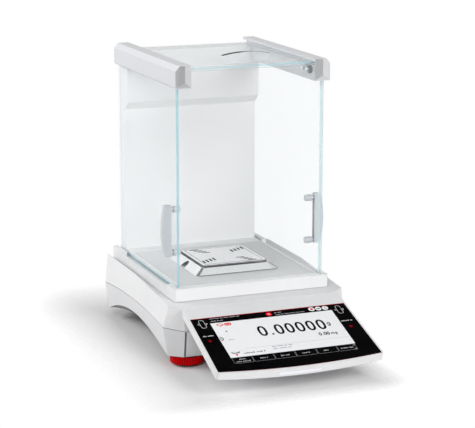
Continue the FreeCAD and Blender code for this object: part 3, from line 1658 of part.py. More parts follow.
data_ports = []
for label, (left, wide) in PORTS.items():
    if label.endswith("_port") and label != "serial_port":
        port = hidden_body(label)
        data_ports.append(port)
    else:
        port = new_body(label)
    add_box(port, left, left + wide, port_face, plate_rear + 1, s.port_foot, port_roof)
    flat = sketch(port, "XZ", -plate_rear - 2)
    middle = s.port_foot + s.port_height / 2
    if label == "dc_jack":
        ring(flat, left + wide / 2, middle, s.jack_radius)
        pocket(port, flat, s.jack_depth + 1, up=True)
        flat = sketch(port, "XZ", -plate_rear - 0.5)
        ring(flat, left + wide / 2, middle, 0.9)
        pad(port, flat, s.jack_depth)
    else:
        rectangle(flat, left + 1.5, left + wide - 1.5, middle - 3.5, middle + 3.5)
        pocket(port, flat, 8, up=True)
piece(group(data_ports), "usb_ports")

motors = []
motor_front = s.bulge_face + s.column_wall
for side in (-1, 1):
    left, right = (s.column_half - 30, s.column_half - s.column_wall)
    if side < 0:
        left, right = (-right, -left)
    motors.append(block(left, right, motor_front, motor_front + 18,
                        s.bulge_foot + 20, s.bulge_foot + 44))
piece(group(motors), "door_motors")


# Check and write out

doc.recompute()
names = set()
for item in doc.Objects:
    if "Invalid" in item.State or "Error" in item.State:
        raise RuntimeError("%s did not build: %s" % (item.Label, item.State))
os.makedirs("parts", exist_ok=True)
for item in PIECES:
    shape = item.Shape
    if shape.isNull() or not shape.isValid() or not shape.Solids:
        raise RuntimeError("%s is not a sound solid" % item.Label)
    if item.Label in names:
        raise RuntimeError("two pieces are called %s" % item.Label)
    names.add(item.Label)
    shape.exportStep("parts/%s.step" % item.Label)
print("%d pieces written" % len(names))
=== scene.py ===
import json
import math

import bmesh
import bpy
from mathutils import Matrix, Vector


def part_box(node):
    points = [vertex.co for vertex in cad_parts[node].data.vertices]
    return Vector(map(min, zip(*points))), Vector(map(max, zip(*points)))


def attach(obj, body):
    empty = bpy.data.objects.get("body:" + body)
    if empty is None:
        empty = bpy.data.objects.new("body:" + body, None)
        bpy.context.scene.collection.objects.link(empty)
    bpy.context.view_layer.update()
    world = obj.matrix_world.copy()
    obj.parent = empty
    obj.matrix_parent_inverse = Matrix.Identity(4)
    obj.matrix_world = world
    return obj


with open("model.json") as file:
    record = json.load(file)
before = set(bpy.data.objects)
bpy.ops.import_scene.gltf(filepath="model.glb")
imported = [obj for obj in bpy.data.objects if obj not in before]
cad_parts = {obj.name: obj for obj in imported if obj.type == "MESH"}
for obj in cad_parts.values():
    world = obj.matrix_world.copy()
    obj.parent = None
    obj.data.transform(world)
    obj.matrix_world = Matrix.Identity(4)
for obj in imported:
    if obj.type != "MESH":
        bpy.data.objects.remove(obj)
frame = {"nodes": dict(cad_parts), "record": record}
nodes = frame["nodes"]
scene = bpy.context.scene
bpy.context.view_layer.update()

MM = 0.001


# ---------------------------------------------------------------- node trees

class Graph:
    """The node tree of a material or a world, built one node at a time."""

    def __init__(self, owner, output="ShaderNodeOutputMaterial"):
        owner.use_nodes = True
        self.owner = owner
        self.tree = owner.node_tree
        self.tree.nodes.clear()
        self.output = self.add(output)

    def add(self, kind, **settings):
        node = self.tree.nodes.new(kind)
        for key, value in settings.items():
            setattr(node, key, value)
        return node

    def link(self, source, target):
        self.tree.links.new(source, target)

    def feed(self, socket, value):
        """Link a socket, or write a number or colour on it."""
        if isinstance(value, bpy.types.NodeSocket):
            self.link(value, socket)
        else:
            socket.default_value = value

    def place(self, stretch=None):
        """Coordinates in metres on the piece, stretched for grain that runs one way."""
        coordinates = self.add("ShaderNodeTexCoord").outputs["Object"]
        if not stretch:
            return coordinates
        mapping = self.add("ShaderNodeMapping")
        self.link(coordinates, mapping.inputs["Vector"])
        mapping.inputs["Scale"].default_value = stretch
        return mapping.outputs["Vector"]

    def axes(self, vector):
        """The x, y and z of a vector."""
        node = self.add("ShaderNodeSeparateXYZ")
        self.link(vector, node.inputs[0])
        return node.outputs

    def facing(self):
        """The x, y and z of the way the surface faces."""
        return self.axes(self.add("ShaderNodeNewGeometry").outputs["Normal"])

    def grazing(self, blend):
        """0 where the surface faces the eye, 1 at its outline, for clear plastic and glass."""
        node = self.add("ShaderNodeLayerWeight")
        node.inputs["Blend"].default_value = blend
        return node.outputs["Facing"]

    def seen(self):
        """1 for the rays by which the eye, metal and glass see a background."""
        rays = self.add("ShaderNodeLightPath").outputs
        return self.math("MAXIMUM", rays["Is Camera Ray"], self.math(
            "MAXIMUM", rays["Is Glossy Ray"], rays["Is Transmission Ray"]))

    def noise(self, scale, detail=3, stretch=None):
        node = self.add("ShaderNodeTexNoise")
        self.link(self.place(stretch), node.inputs["Vector"])
        node.inputs["Scale"].default_value = scale
        node.inputs["Detail"].default_value = detail
        node.inputs["Roughness"].default_value = 0.55
        return node.outputs["Fac"]

    def span(self, value, low, high, start=0.3, end=0.7):
        """Map a value to a range. Most of a noise lies between 0.3 and 0.7."""
        node = self.add("ShaderNodeMapRange")
        self.link(value, node.inputs["Value"])
        node.inputs["From Min"].default_value = start
        node.inputs["From Max"].default_value = end
        node.inputs["To Min"].default_value = low
        node.inputs["To Max"].default_value = high
        return node.outputs["Result"]

    def around(self, value, middle, swing):
        """Let a noise move a number up and down around its middle."""
        return self.span(value, middle - swing, middle + swing)

    def math(self, operation, first, second=0.0):
        node = self.add("ShaderNodeMath", operation=operation)
        self.feed(node.inputs[0], first)
        self.feed(node.inputs[1], second)
        return node.outputs[0]

    def blend(self, factor, first, second):
        node = self.add("ShaderNodeMix", data_type="RGBA")
        self.feed(node.inputs[0], factor)
        self.feed(node.inputs[6], first)
        self.feed(node.inputs[7], second)
        return node.outputs[2]

    def tone(self, value, colour, dark, bright):
        """A colour that a noise makes darker and brighter."""
        return self.blend(self.span(value, 0, 1), rgba(colour, dark), rgba(colour, bright))

    def bump(self, height, depth, strength=1.0):
        node = self.add("ShaderNodeBump")
        self.link(height, node.inputs["Height"])
        node.inputs["Distance"].default_value = depth
        node.inputs["Strength"].default_value = strength
        return node.outputs["Normal"]

    def principled(self, **inputs):
        node = self.add("ShaderNodeBsdfPrincipled")
        for key, value in inputs.items():
            self.feed(node.inputs[key.replace("_", " ")], value)
        return node.outputs["BSDF"]

    def clear(self, tint=(1, 1, 1, 1)):
        node = self.add("ShaderNodeBsdfTransparent")
        node.inputs["Color"].default_value = tint
        return node.outputs[0]

    def background(self, strength):
        node = self.add("ShaderNodeBackground")
        node.inputs["Color"].default_value = (1, 1, 1, 1)
        self.feed(node.inputs["Strength"], strength)
        return node.outputs[0]

    def mix(self, factor, first, second):
        """The second shader over the first, by a share."""
        node = self.add("ShaderNodeMixShader")
        for socket, value in zip(node.inputs, (factor, first, second)):
            self.link(value, socket)
        return node.outputs[0]

    def finish(self, shader):
        self.link(shader, self.output.inputs["Surface"])
        return self.owner


def material(name):
    return Graph(bpy.data.materials.new(name))


def rgba(colour, share=1.0):
    return (colour[0] * share, colour[1] * share, colour[2] * share, 1.0)


# ---------------------------------------------------------------- looks

def moulded(name, colour, rough=0.42, grain=2600, drift=0.03, painted_underside=None):
    """Moulded plastic: fine spark-eroded grain, faint flow clouds in colour and gloss.

    The colour given for the faces that look down is painted on them: painted shade where it is
    dark, painted light where it is pale.
    """
    g = material(name)
    cloud = g.noise(14, 4)
    fine = g.noise(grain, 2)
    tint = g.tone(cloud, colour, 1 - drift, 1 + drift * 0.4)
    if painted_underside:
        painted_underside_mask = g.math("LESS_THAN", g.facing()[2], -0.5)
        tint = g.blend(painted_underside_mask, tint, rgba(painted_underside))
    gloss = g.math("ADD", g.around(cloud, rough, 0.04), g.around(fine, 0, 0.03))
    return g.finish(g.principled(
        Base_Color=tint, Roughness=gloss, Normal=g.bump(fine, 0.03 * MM)))


WHEEL_RED = (0.68, 0.0008, 0.004)
# Painted shade for the notches between the ribs and for the flat faces inside the rim
WHEEL_NOTCH_SHADE = (0.13, 0.0002, 0.001)
WHEEL_RIBS = 40
WHEEL_RIB_DEPTH = 1.3 * MM


def knurled(name, label):
    """Gloss plastic of a ribbed wheel. Painted shade: the notches between its ribs and its flat
    faces inside the rim are darker.
    """
    g = material(name)
    low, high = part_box(label)
    spot = g.axes(g.place())
    across = g.math("SUBTRACT", spot[0], (low[0] + high[0]) / 2)
    along = g.math("SUBTRACT", spot[1], (low[1] + high[1]) / 2)
    reach = g.math("SQRT", g.math("ADD", g.math("MULTIPLY", across, across),
                                  g.math("MULTIPLY", along, along)))
    rim = (high[0] - low[0]) / 2
    turn = g.math("MULTIPLY", g.math("ARCTAN2", along, across), WHEEL_RIBS)
    notch = g.span(g.math("COSINE", turn), 0, 1, 0.1, 1.0)
    inside = g.math("LESS_THAN", reach, rim - WHEEL_RIB_DEPTH)
    ribs = g.math("SUBTRACT", 1.0, g.math("MAXIMUM", notch, inside))
    fine = g.noise(2200, 2)
    red = g.tone(g.noise(30, 3), WHEEL_RED, 0.92, 1.05)
    return g.finish(g.principled(
        Base_Color=g.blend(ribs, rgba(WHEEL_NOTCH_SHADE), red), Roughness=g.span(fine, 0.4, 0.5),
        Normal=g.bump(fine, 0.02 * MM), Specular_IOR_Level=0.04))


def painted(name, colour, rough):
    """Powder coat on sheet metal, with its orange peel."""
    g = material(name)
    peel = g.noise(900, 2)
    return g.finish(g.principled(
        Base_Color=g.tone(g.noise(9, 3), colour, 0.985, 1.01),
        Roughness=g.around(peel, rough, 0.04), Normal=g.bump(peel, 0.008 * MM)))


def metal(name, colour, rough, stretch, scale=60, depth=0.012 * MM, edge=None):
    """Rolled, turned or milled metal: streaks along the tool's way.

    The edge colour is painted as shade on the faces that don't look up or down.
    """
    g = material(name)
    streak = g.noise(scale, 5, stretch)
    tint = g.tone(streak, colour, 0.9, 1.06)
    if edge:
        painted_edge_shade_mask = g.math("LESS_THAN", g.math("ABSOLUTE", g.facing()[2]), 0.4)
        tint = g.blend(painted_edge_shade_mask, tint, rgba(edge))
    gloss = g.math("ADD", g.span(streak, rough * 0.7, rough * 1.3),
                   g.span(g.noise(11, 3), -0.02, 0.03))
    return g.finish(g.principled(
        Base_Color=tint, Metallic=1.0, Roughness=gloss, Normal=g.bump(streak, depth)))


def satin(name, colour, rough, stretch, scale=420, metallic=0.4):
    """Satin metal: soft sheen with fine drawing lines. A bump would show as grain."""
    g = material(name)
    line = g.noise(scale, 2, stretch)
    gloss = g.math("ADD", g.around(line, rough, 0.004), g.around(g.noise(7, 3), 0, 0.01))
    return g.finish(g.principled(
        Base_Color=g.tone(line, colour, 0.994, 1.004), Metallic=metallic, Roughness=gloss))


def rubber(name, colour):
    """Dull rubber with a coarse grit."""
    g = material(name)
    grit = g.noise(1500, 4)
    return g.finish(g.principled(
        Base_Color=g.tone(grit, colour, 0.8, 1.4), Roughness=g.span(grit, 0.7, 0.92),
        Normal=g.bump(grit, 0.1 * MM)))


FACE = (0.84, 0.92, 0.94)
EDGE = (0.34, 0.65, 0.74)
LOW_EDGE = (0.09, 0.30, 0.37)
PALE_EDGE = (0.62, 0.80, 0.82)
NEAR_EDGE = 0.6 * MM
STEEP = 0.6


def pane(name, label, thin, tones):
    """Flat glass: clear through its faces, coloured where light leaves at its edges.

    thin is the axis of its thickness. tones gives (axis, side, colour, cover, band) for each
    edge that shows. A band, in metres, keeps the colour to that much below the high face.
    """
    g = material(name)
    low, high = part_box(label)
    way = g.facing()
    spot = g.axes(g.place())
    rim = g.math("LESS_THAN", g.math("ABSOLUTE", way[thin]), STEEP)
    colour = rgba(FACE)
    cover = 0.0
    for axis, side, edge, share, band in tones:
        here = g.math("GREATER_THAN", g.math("ABSOLUTE", way[axis]), STEEP)
        if side > 0:
            at_side = g.math("GREATER_THAN", spot[axis], high[axis] - NEAR_EDGE)
        else:
            at_side = g.math("LESS_THAN", spot[axis], low[axis] + NEAR_EDGE)
        here = g.math("MULTIPLY", here, at_side)
        if band:
            here = g.math("MULTIPLY", here, g.math("GREATER_THAN", spot[thin], high[thin] - band))
        colour = g.blend(here, colour, rgba(edge))
        cover = g.math("ADD", cover, g.math("MULTIPLY", here, share))
    sheen = g.math("MULTIPLY", g.math("POWER", g.grazing(0.5), 5.0), 0.5)
    ripple = g.around(g.noise(26, 2), 0, 0.004)
    veil = g.math("ADD", g.math("ADD", sheen, 0.012), ripple)
    solid = g.principled(
        Base_Color=colour, Roughness=g.math("ADD", g.math("MULTIPLY", rim, 0.16), 0.03),
        IOR=1.52, Normal=g.bump(g.noise(1800, 2), 0.004 * MM, 0.3))
    cover = g.math("MAXIMUM", g.math("MULTIPLY", rim, cover), veil)
    return g.finish(g.mix(cover, g.clear((0.994, 0.997, 0.998, 1)), solid))


def acrylic(name, colour, share, rim_share):
    """Clear moulded plastic, seen mostly by its rims."""
    g = material(name)
    flow = g.noise(60, 3, (1, 3, 3))
    rim = g.math("POWER", g.grazing(0.45), 2.0)
    # Painted shade: the colour darkens towards the outline, where the surface turns from the eye
    solid = g.principled(
        Base_Color=g.blend(rim, rgba(colour), rgba(colour, 0.8)), IOR=1.49,
        Roughness=g.span(flow, 0.05, 0.14), Normal=g.bump(flow, 0.03 * MM))
    cover = g.math("MINIMUM", g.math("ADD", g.math("MULTIPLY", rim, rim_share), share), 1.0)
    return g.finish(g.mix(cover, g.clear((0.985, 0.99, 0.992, 1)), solid))


def touch_surface(name):
    """Black touch glass: deep gloss with faint wiping marks."""
    g = material(name)
    wipe = g.noise(18, 5, (1, 3, 3))
    fine = g.noise(260, 3)
    gloss = g.math("ADD", g.span(wipe, 0.07, 0.13), g.span(fine, -0.01, 0.02))
    return g.finish(g.principled(
        Base_Color=g.tone(wipe, (0.0012, 0.0012, 0.0014), 1, 2), Roughness=gloss,
        Specular_IOR_Level=0.0, Coat_Weight=0.03, Coat_Roughness=0.06,
        Normal=g.bump(fine, 0.004 * MM)))


def screen_ink(name, colour, glow=0.0):
    """What the display shows: an even tone with the pixels' fine ripple."""
    g = material(name)
    pixels = g.noise(5200, 1)
    tint = g.tone(pixels, colour, 0.97, 1.02)
    return g.finish(g.principled(
        Base_Color=tint, Roughness=g.around(pixels, 0.35, 0.05),
        Emission_Color=tint, Emission_Strength=glow, Specular_IOR_Level=0.01))


def board_lacquer(name):
    """Green lacquer of a circuit board, over its copper tracks."""
    g = material(name)
    tracks = g.add("ShaderNodeTexBrick")
    for key, value in (("Vector", g.place()), ("Scale", 120), ("Mortar Size", 0.06),
                       ("Color1", (0.012, 0.10, 0.035, 1)), ("Color2", (0.016, 0.14, 0.05, 1)),
                       ("Mortar", (0.03, 0.19, 0.08, 1))):
        g.feed(tracks.inputs[key], value)
    return g.finish(g.principled(
        Base_Color=tracks.outputs["Color"], Roughness=g.span(g.noise(90, 3), 0.25, 0.45),
        Normal=g.bump(tracks.outputs["Fac"], 0.04 * MM)))


# How a noise is stretched into streaks, and settings that two looks share
ALONG_X = (3, 40, 40)
TURNED = (2, 30, 30)
POLISHED = {"stretch": ALONG_X, "scale": 20, "depth": 0.006 * MM}
CAST = {"stretch": (1, 1, 1), "scale": 260, "metallic": 0.62}

# Looks by material slot
LOOKS = {
    "white_shell": moulded("white_shell", (0.80, 0.803, 0.81)),
    "white_rail": satin("white_rail", (0.64, 0.65, 0.672), 0.4, (1, 0.02, 1)),
    "floor_grey": painted("floor_grey", (0.69, 0.693, 0.70), 0.45),
    "grey_plastic": moulded("grey_plastic", (0.60, 0.62, 0.65), 0.34, grain=3200),
    "clear_plastic": acrylic("clear_plastic", (0.84, 0.88, 0.90), 0.16, 0.7),
    "polished_steel": metal("polished_steel", (0.88, 0.885, 0.89), 0.13, **POLISHED),
    "steel": metal("steel", (0.55, 0.56, 0.57), 0.28, TURNED),
    "aluminium": metal("aluminium", (0.68, 0.69, 0.7), 0.32, (30, 2, 30)),
    "brass": metal("brass", (0.66, 0.47, 0.19), 0.25, (2, 2, 60)),
    "dark_rubber": rubber("dark_rubber", (0.03, 0.03, 0.031)),
    "screen_glass": touch_surface("screen_glass"),
    "display": screen_ink("display", (0.7, 0.72, 0.74)),
    "light_bar": screen_ink("light_bar", (0.72, 0.72, 0.78), 0.3),
    "circuit_board": board_lacquer("circuit_board"),
    "black_plastic": moulded("black_plastic", (0.018, 0.018, 0.02), 0.48, drift=0.2),
}
# Looks of single nodes, where the photo shows another tone than their slot's
SPECIAL = {
    "draft_skirt": satin("skirt_steel", (0.90, 0.902, 0.905), 0.26, ALONG_X, 20, 0.85),
    "front_glass": pane("front_pane", "front_glass", 1, [
        (0, -1, EDGE, 0.74, 0), (0, 1, PALE_EDGE, 0.6, 0),
        (2, -1, PALE_EDGE, 0.3, 0), (2, 1, EDGE, 0.6, 0)]),
    "left_door_glass": pane("left_pane", "left_door_glass", 0, [
        (1, -1, EDGE, 0.66, 0), (1, 1, PALE_EDGE, 0.12, 0), (2, -1, LOW_EDGE, 0.85, 0)]),
    "right_door_glass": pane("right_pane", "right_door_glass", 0, [
        (1, -1, PALE_EDGE, 0.75, 0), (1, 1, PALE_EDGE, 0.12, 0), (2, -1, EDGE, 0.5, 0)]),
    "top_door_glass": pane("top_pane", "top_door_glass", 2, [
        (1, -1, EDGE, 0.42, 2.6 * MM), (0, 1, EDGE, 0.4, 1.6 * MM), (0, -1, EDGE, 0.5, 2 * MM)]),
    "top_door_handle": acrylic("handle_plastic", (0.93, 0.94, 0.945), 0.10, 0.25),
    # Painted light: the column is the white plastic painted lighter than white_shell, its
    # downward faces lighter still
    "column_shell": moulded("column_white_painted_light", (0.88, 0.88, 0.885), painted_underside=(0.97, 0.97, 0.97)),
    # Painted light: the deck is the white plastic painted lighter than white_shell
    "deck_frame": moulded("deck_white_painted_light", (0.84, 0.842, 0.848)),
    # Painted shade: the cover's downward faces are painted near black, which draws the seam under
    # it
    "upper_housing": moulded("cover_white_shaded_underside", (0.82, 0.823, 0.83), painted_underside=(0.04, 0.04, 0.042)),
    # Painted shade: the lower housing is the white plastic painted darker than white_shell, its
    # downward faces dark grey
    "lower_housing": moulded("tray_white_painted_shade", (0.76, 0.763, 0.772), painted_underside=(0.2, 0.2, 0.205)),
    "left_foot_wheel": knurled("left_red", "left_foot_wheel"),
    "right_foot_wheel": knurled("right_red", "right_foot_wheel"),
    # Painted shade: the pan's rims and the walls of its slots, which don't look up or down, are
    # painted dark
    "weighing_pan": metal("pan_steel_shaded_edges", (0.84, 0.845, 0.85), 0.2, edge=(0.3, 0.3, 0.305),
                          **POLISHED),
    # Painted shade and light: both caps are the same cast metal, the left one painted darker than
    # the right
    "left_rail_cap": satin("left_cap_shaded", (0.58, 0.585, 0.595), 0.32, **CAST),
    "right_rail_cap": satin("right_cap_lit", (0.64, 0.645, 0.655), 0.32, **CAST),
    "clip_screws": metal("clip_steel", (0.78, 0.78, 0.79), 0.5, TURNED),
}

slot_of = {row["node"]: row["material_slot"] for row in frame["record"]["subparts"]}
for label, item in nodes.items():
    item.data.materials.clear()
    item.data.materials.append(SPECIAL.get(label) or LOOKS[slot_of[label]])


# ---------------------------------------------------------------- building of new pieces

def prism(made, outline, lift):
    """Add a closed solid between an outline and the same outline moved by lift."""
    foot = [made.verts.new(point) for point in outline]
    top = [made.verts.new(point + lift) for point in outline]
    made.faces.new(top)
    made.faces.new(foot[::-1])
    for index in range(len(foot)):
        after = (index + 1) % len(foot)
        made.faces.new((foot[index], foot[after], top[after], top[index]))


def place_mesh(name, made, look):
    """Put a finished mesh into the scene."""
    mesh = bpy.data.meshes.new(name)
    made.to_mesh(mesh)
    made.free()
    mesh.materials.append(look)
    item = bpy.data.objects.new(name, mesh)
    scene.collection.objects.link(item)
    return item


# ---------------------------------------------------------------- pieces on the terminal

# The touch glass: its tilt and the middle of its upper edge
TILT = math.radians(18.8)
ORIGIN = Vector((0, -89.5, 65.2)) * MM
TERMINAL = Matrix.Translation(ORIGIN) @ Matrix.Rotation(TILT, 4, "X")

# Layers above the glass, each from and to a height in millimetres
ON_GLASS = (0.0, 0.06)
ON_SIGN = (0.06, 0.10)
ON_FIELD = (0.06, 0.11)
ON_MARK = (0.11, 0.15)


def on_screen(name, shapes, look, layer):
    """Thin shapes on the touch glass, in millimetres.

    Each is a closed outline of points (x, run), where run goes down the glass.
    """
    low, high = layer
    lift = TERMINAL.to_3x3() @ Vector((0, 0, (high - low) * MM))
    made = bmesh.new()
    for shape in shapes:
        prism(made, [TERMINAL @ (Vector((x, -run, low)) * MM) for x, run in shape], lift)
    bmesh.ops.recalc_face_normals(made, faces=made.faces)
    item = place_mesh(name, made, look)
    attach(item, "base")


def slab(left, right, top, foot, corner=0.0):
    """A rectangle on the screen, with rounded corners if asked."""
    if not corner:
        return [(left, foot), (right, foot), (right, top), (left, top)]
    points = []
    for x, run, start in ((right - corner, top + corner, 0), (left + corner, top + corner, 90),
                          (left + corner, foot - corner, 180),
                          (right - corner, foot - corner, 270)):
        for step in range(7):
            turn = math.radians(start + step * 15)
            points.append((x + corner * math.cos(turn), run - corner * math.sin(turn)))
    return points


def disc(x, run, radius, steps=28):
    """A round dot on the screen."""
    turns = [2 * math.pi * step / steps for step in range(steps)]
    return [(x + radius * math.cos(turn), run + radius * math.sin(turn)) for turn in turns]


MITRE_LIMIT = 0.4


def stroke(path, width, closed=False):
    """Quads that follow a path with one width and mitred joints."""
    points = [Vector(point) for point in path]
    count = len(points)
    ways = [(points[(index + 1) % count] - points[index]).normalized() for index in range(count)]
    sides = []
    for index, here in enumerate(points):
        way_in = ways[index - 1] if index or closed else ways[0]
        way_out = ways[index] if index < count - 1 or closed else way_in
        way = (way_in + way_out).normalized()
        normal = Vector((-way.y, way.x))
        square = normal.dot(Vector((-way_in.y, way_in.x)))
        reach = width / 2 / max(square, MITRE_LIMIT)
        sides.append((tuple(here + normal * reach), tuple(here - normal * reach)))
    quads = []
    for index in range(count if closed else count - 1):
        (left, right), (next_left, next_right) = sides[index], sides[(index + 1) % count]
        quads.append([left, next_left, next_right, right])
    return quads


def ring(x, run, half_width, half_height, power, width):
    """The stroke of a digit 0, a letter or a frame: an oval, squarer with a higher power."""
    points = []
    for step in range(40):
        turn = 2 * math.pi * step / 40
        across, along = math.cos(turn), math.sin(turn)
        points.append((x + half_width * math.copysign(abs(across) ** (2 / power), across),
                       run - half_height * math.copysign(abs(along) ** (2 / power), along)))
    return stroke(points, width, closed=True)


# Small print: letters in each word and their heights in shares of the line's height, the step
# from letter to letter in the same share, and the rest in shares of that step
WORD_LENGTHS = (4, 6, 3, 5, 7)
LETTER_HEIGHTS = (1.0, 0.7, 0.74, 0.7, 1.0, 0.72, 0.7)
LETTER_STEP = 0.8
LETTER_WIDTH, LETTER_ROOM, WORD_GAP = 0.56, 0.6, 0.8


def dashes(left, right, run, height, seed=0):
    """A line of small print, shown as plain blocks in groups, like unreadable words."""
    step = height * LETTER_STEP
    shapes = []
    x = left
    word = seed
    while x + step * LETTER_ROOM < right:
        for letter in range(WORD_LENGTHS[word % len(WORD_LENGTHS)]):
            if x + step * LETTER_ROOM > right:
                break
            tall = LETTER_HEIGHTS[(word * 3 + letter) % len(LETTER_HEIGHTS)] * height
            foot = run + height / 2
            shapes.append(slab(x, x + step * LETTER_WIDTH, foot - tall, foot))
            x += step
        x += step * WORD_GAP
        word += 1
    return shapes


LIT = screen_ink("screen_white", (0.80, 0.81, 0.825), 0.14)
INK = screen_ink("screen_black", (0.004, 0.004, 0.005))
DIM_INK = screen_ink("screen_dim", (0.10, 0.10, 0.11))
GREY_INK = screen_ink("screen_grey", (0.34, 0.345, 0.36))
PALE_INK = screen_ink("screen_pale", (0.62, 0.63, 0.65))
RED_INK = screen_ink("screen_red", (0.66, 0.004, 0.012), 0.2)
DEEP_INK = screen_ink("sensor_red", (0.24, 0.001, 0.006), 0.1)
WHITE_INK = screen_ink("screen_bright", (0.85, 0.86, 0.87), 0.1)

on_screen("screen_field", [slab(-76.2, 76.2, 11.7, 80.3, 0.4)], LIT, ON_GLASS)

# The reading in the middle of the screen, its unit and a second, smaller reading
digits = []
for middle in (-21.5, -0.9, 12.2, 25.3, 38.4, 51.5):
    digits += ring(middle, 37.05, 3.85, 8.3, 2.4, 2.8)
digits.append(slab(-12.3, -9.8, 43.6, 46.2))
on_screen("reading_digits", digits, INK, ON_FIELD)

unit = ring(60.9, 37.0, 1.5, 2.0, 2.0, 1.0)
unit += stroke([(62.7, 34.8), (62.7, 39.8), (62.0, 40.9), (60.6, 41.2), (59.2, 40.8)], 0.9)
on_screen("reading_unit", unit, INK, ON_FIELD)

second = []
for middle in (43.1, 49.2, 53.0):
    second += ring(middle, 55.2, 1.25, 2.5, 2.2, 1.1)
second.append(slab(45.8, 46.7, 57.0, 57.9))
second += stroke([(56.8, 57.8), (56.8, 54.9), (58.4, 54.9), (58.4, 57.8)], 0.7)
second += stroke([(58.4, 54.9), (60.0, 54.9), (60.0, 57.8)], 0.7)
second += ring(62.2, 56.2, 0.9, 1.2, 2.0, 0.7)
second += stroke([(63.4, 54.8), (63.4, 58.6), (61.4, 59.2)], 0.7)
on_screen("second_reading", second, INK, ON_FIELD)

# Small signs inside the white field
on_screen("state_signs", ring(-65.8, 16.2, 3.1, 1.9, 3.0, 0.9) + [
    slab(-70.4, -68.6, 15.2, 16.3, 0.4), slab(-63.4, -61.2, 16.4, 17.5, 0.4),
    disc(-65.8, 19.0, 0.8, 16), slab(-60.4, -52.4, 13.8, 19.0, 1.6)], RED_INK, ON_FIELD)
on_screen("state_cut", [slab(-59.2, -53.6, 16.2, 16.9), disc(-58.6, 15.3, 0.5, 12),
                        disc(-54.6, 17.8, 0.5, 12)], LIT, ON_MARK)
on_screen("stability_dot", [disc(-62.9, 30.0, 1.05)], INK, ON_FIELD)
mode = stroke([(-75.2, 39.7), (-73.2, 40.2), (-71.9, 42.0), (-71.9, 44.2), (-73.2, 46.2),
               (-75.2, 46.6)], 1.0)
mode += stroke([(-75.6, 41.9), (-74.2, 42.3), (-74.2, 43.9), (-75.6, 44.3)], 0.7)
on_screen("mode_sign", mode, INK, ON_FIELD)
on_screen("mode_print", dashes(-66.2, -59.2, 46.4, 1.5, 2), INK, ON_FIELD)
on_screen("field_line", [slab(-53.5, 73.5, 65.8, 66.25), slab(-75.8, -53.0, 69.1, 69.4)],
          PALE_INK, ON_FIELD)
on_screen("field_print", dashes(-21.7, 2.7, 68.3, 1.6) + dashes(-22.2, 0.3, 72.5, 1.6, 3),
          DIM_INK, ON_FIELD)
on_screen("tray_sign", [slab(-71.2, -62.9, 71.6, 73.0, 0.5), slab(-72.4, -70.6, 70.4, 71.6),
                        slab(-63.6, -62.0, 70.4, 71.6)], INK, ON_FIELD)
on_screen("tray_arrow", [[(-69.0, 74.4), (-65.4, 74.4), (-67.2, 78.2)]], RED_INK, ON_FIELD)
on_screen("task_print", dashes(-58.0, -32.3, 74.3, 2.4, 4), INK, ON_FIELD)

# Signs in the black band above the field
on_screen("head_print", dashes(-73.8, -36.0, 3.0, 1.4, 5) + dashes(-74.0, -58.2, 7.6, 1.4, 1),
          PALE_INK, ON_GLASS)
on_screen("user_sign", [disc(-1.4, 6.0, 3.7)], RED_INK, ON_GLASS)
on_screen("user_bars", [slab(-3.0, 0.2, 4.6, 5.3), slab(-3.0, 0.2, 6.6, 7.3)], PALE_INK, ON_SIGN)
on_screen("user_print", dashes(5.8, 15.2, 4.5, 1.3, 2) + dashes(6.4, 43.6, 8.4, 1.3, 6),
          PALE_INK, ON_GLASS)
on_screen("head_circles", [disc(52.8, 5.6, 3.8), disc(61.3, 5.8, 3.8), disc(69.9, 6.1, 3.8)],
          WHITE_INK, ON_GLASS)
on_screen("head_record", [disc(52.8, 5.6, 1.9)], RED_INK, ON_SIGN)
on_screen("head_marks", [slab(59.0, 63.6, 5.0, 6.6, 0.4)]
          + stroke([(69.9, 3.8), (69.9, 6.4), (71.6, 7.6)], 0.8), DIM_INK, ON_SIGN)


def door_sign(x, run):
    """A chamber seen from in front, with an arrow on each side."""
    chamber = [(x + across, run + down) for across, down in (
        (-1.9, -7.6), (1.9, -7.6), (3.0, -5.6), (3.0, 5.6), (1.9, 7.6), (-1.9, 7.6),
        (-3.0, 5.6), (-3.0, -5.6))]
    shapes = stroke(chamber, 0.36, closed=True)
    for side in (-1, 1):
        shapes += stroke([(x + side * 4.2, run - 1.8), (x + side * 5.6, run),
                          (x + side * 4.2, run + 1.8)], 0.45)
    return shapes


# Signs on the black glass beside the field
on_screen("door_sign_left", door_sign(-85.4, 11.7), WHITE_INK, ON_GLASS)
on_screen("door_sign_right", door_sign(85.6, 12.2), WHITE_INK, ON_GLASS)
on_screen("door_print_left", dashes(-92.8, -78.7, 35.0, 1.8, 2), WHITE_INK, ON_GLASS)
on_screen("door_print_right", dashes(78.3, 92.4, 35.0, 1.8, 4), WHITE_INK, ON_GLASS)
on_screen("sensor_dots", [disc(-88.1, 44.8, 2.1), disc(85.6, 46.9, 2.1)], DEEP_INK, ON_GLASS)

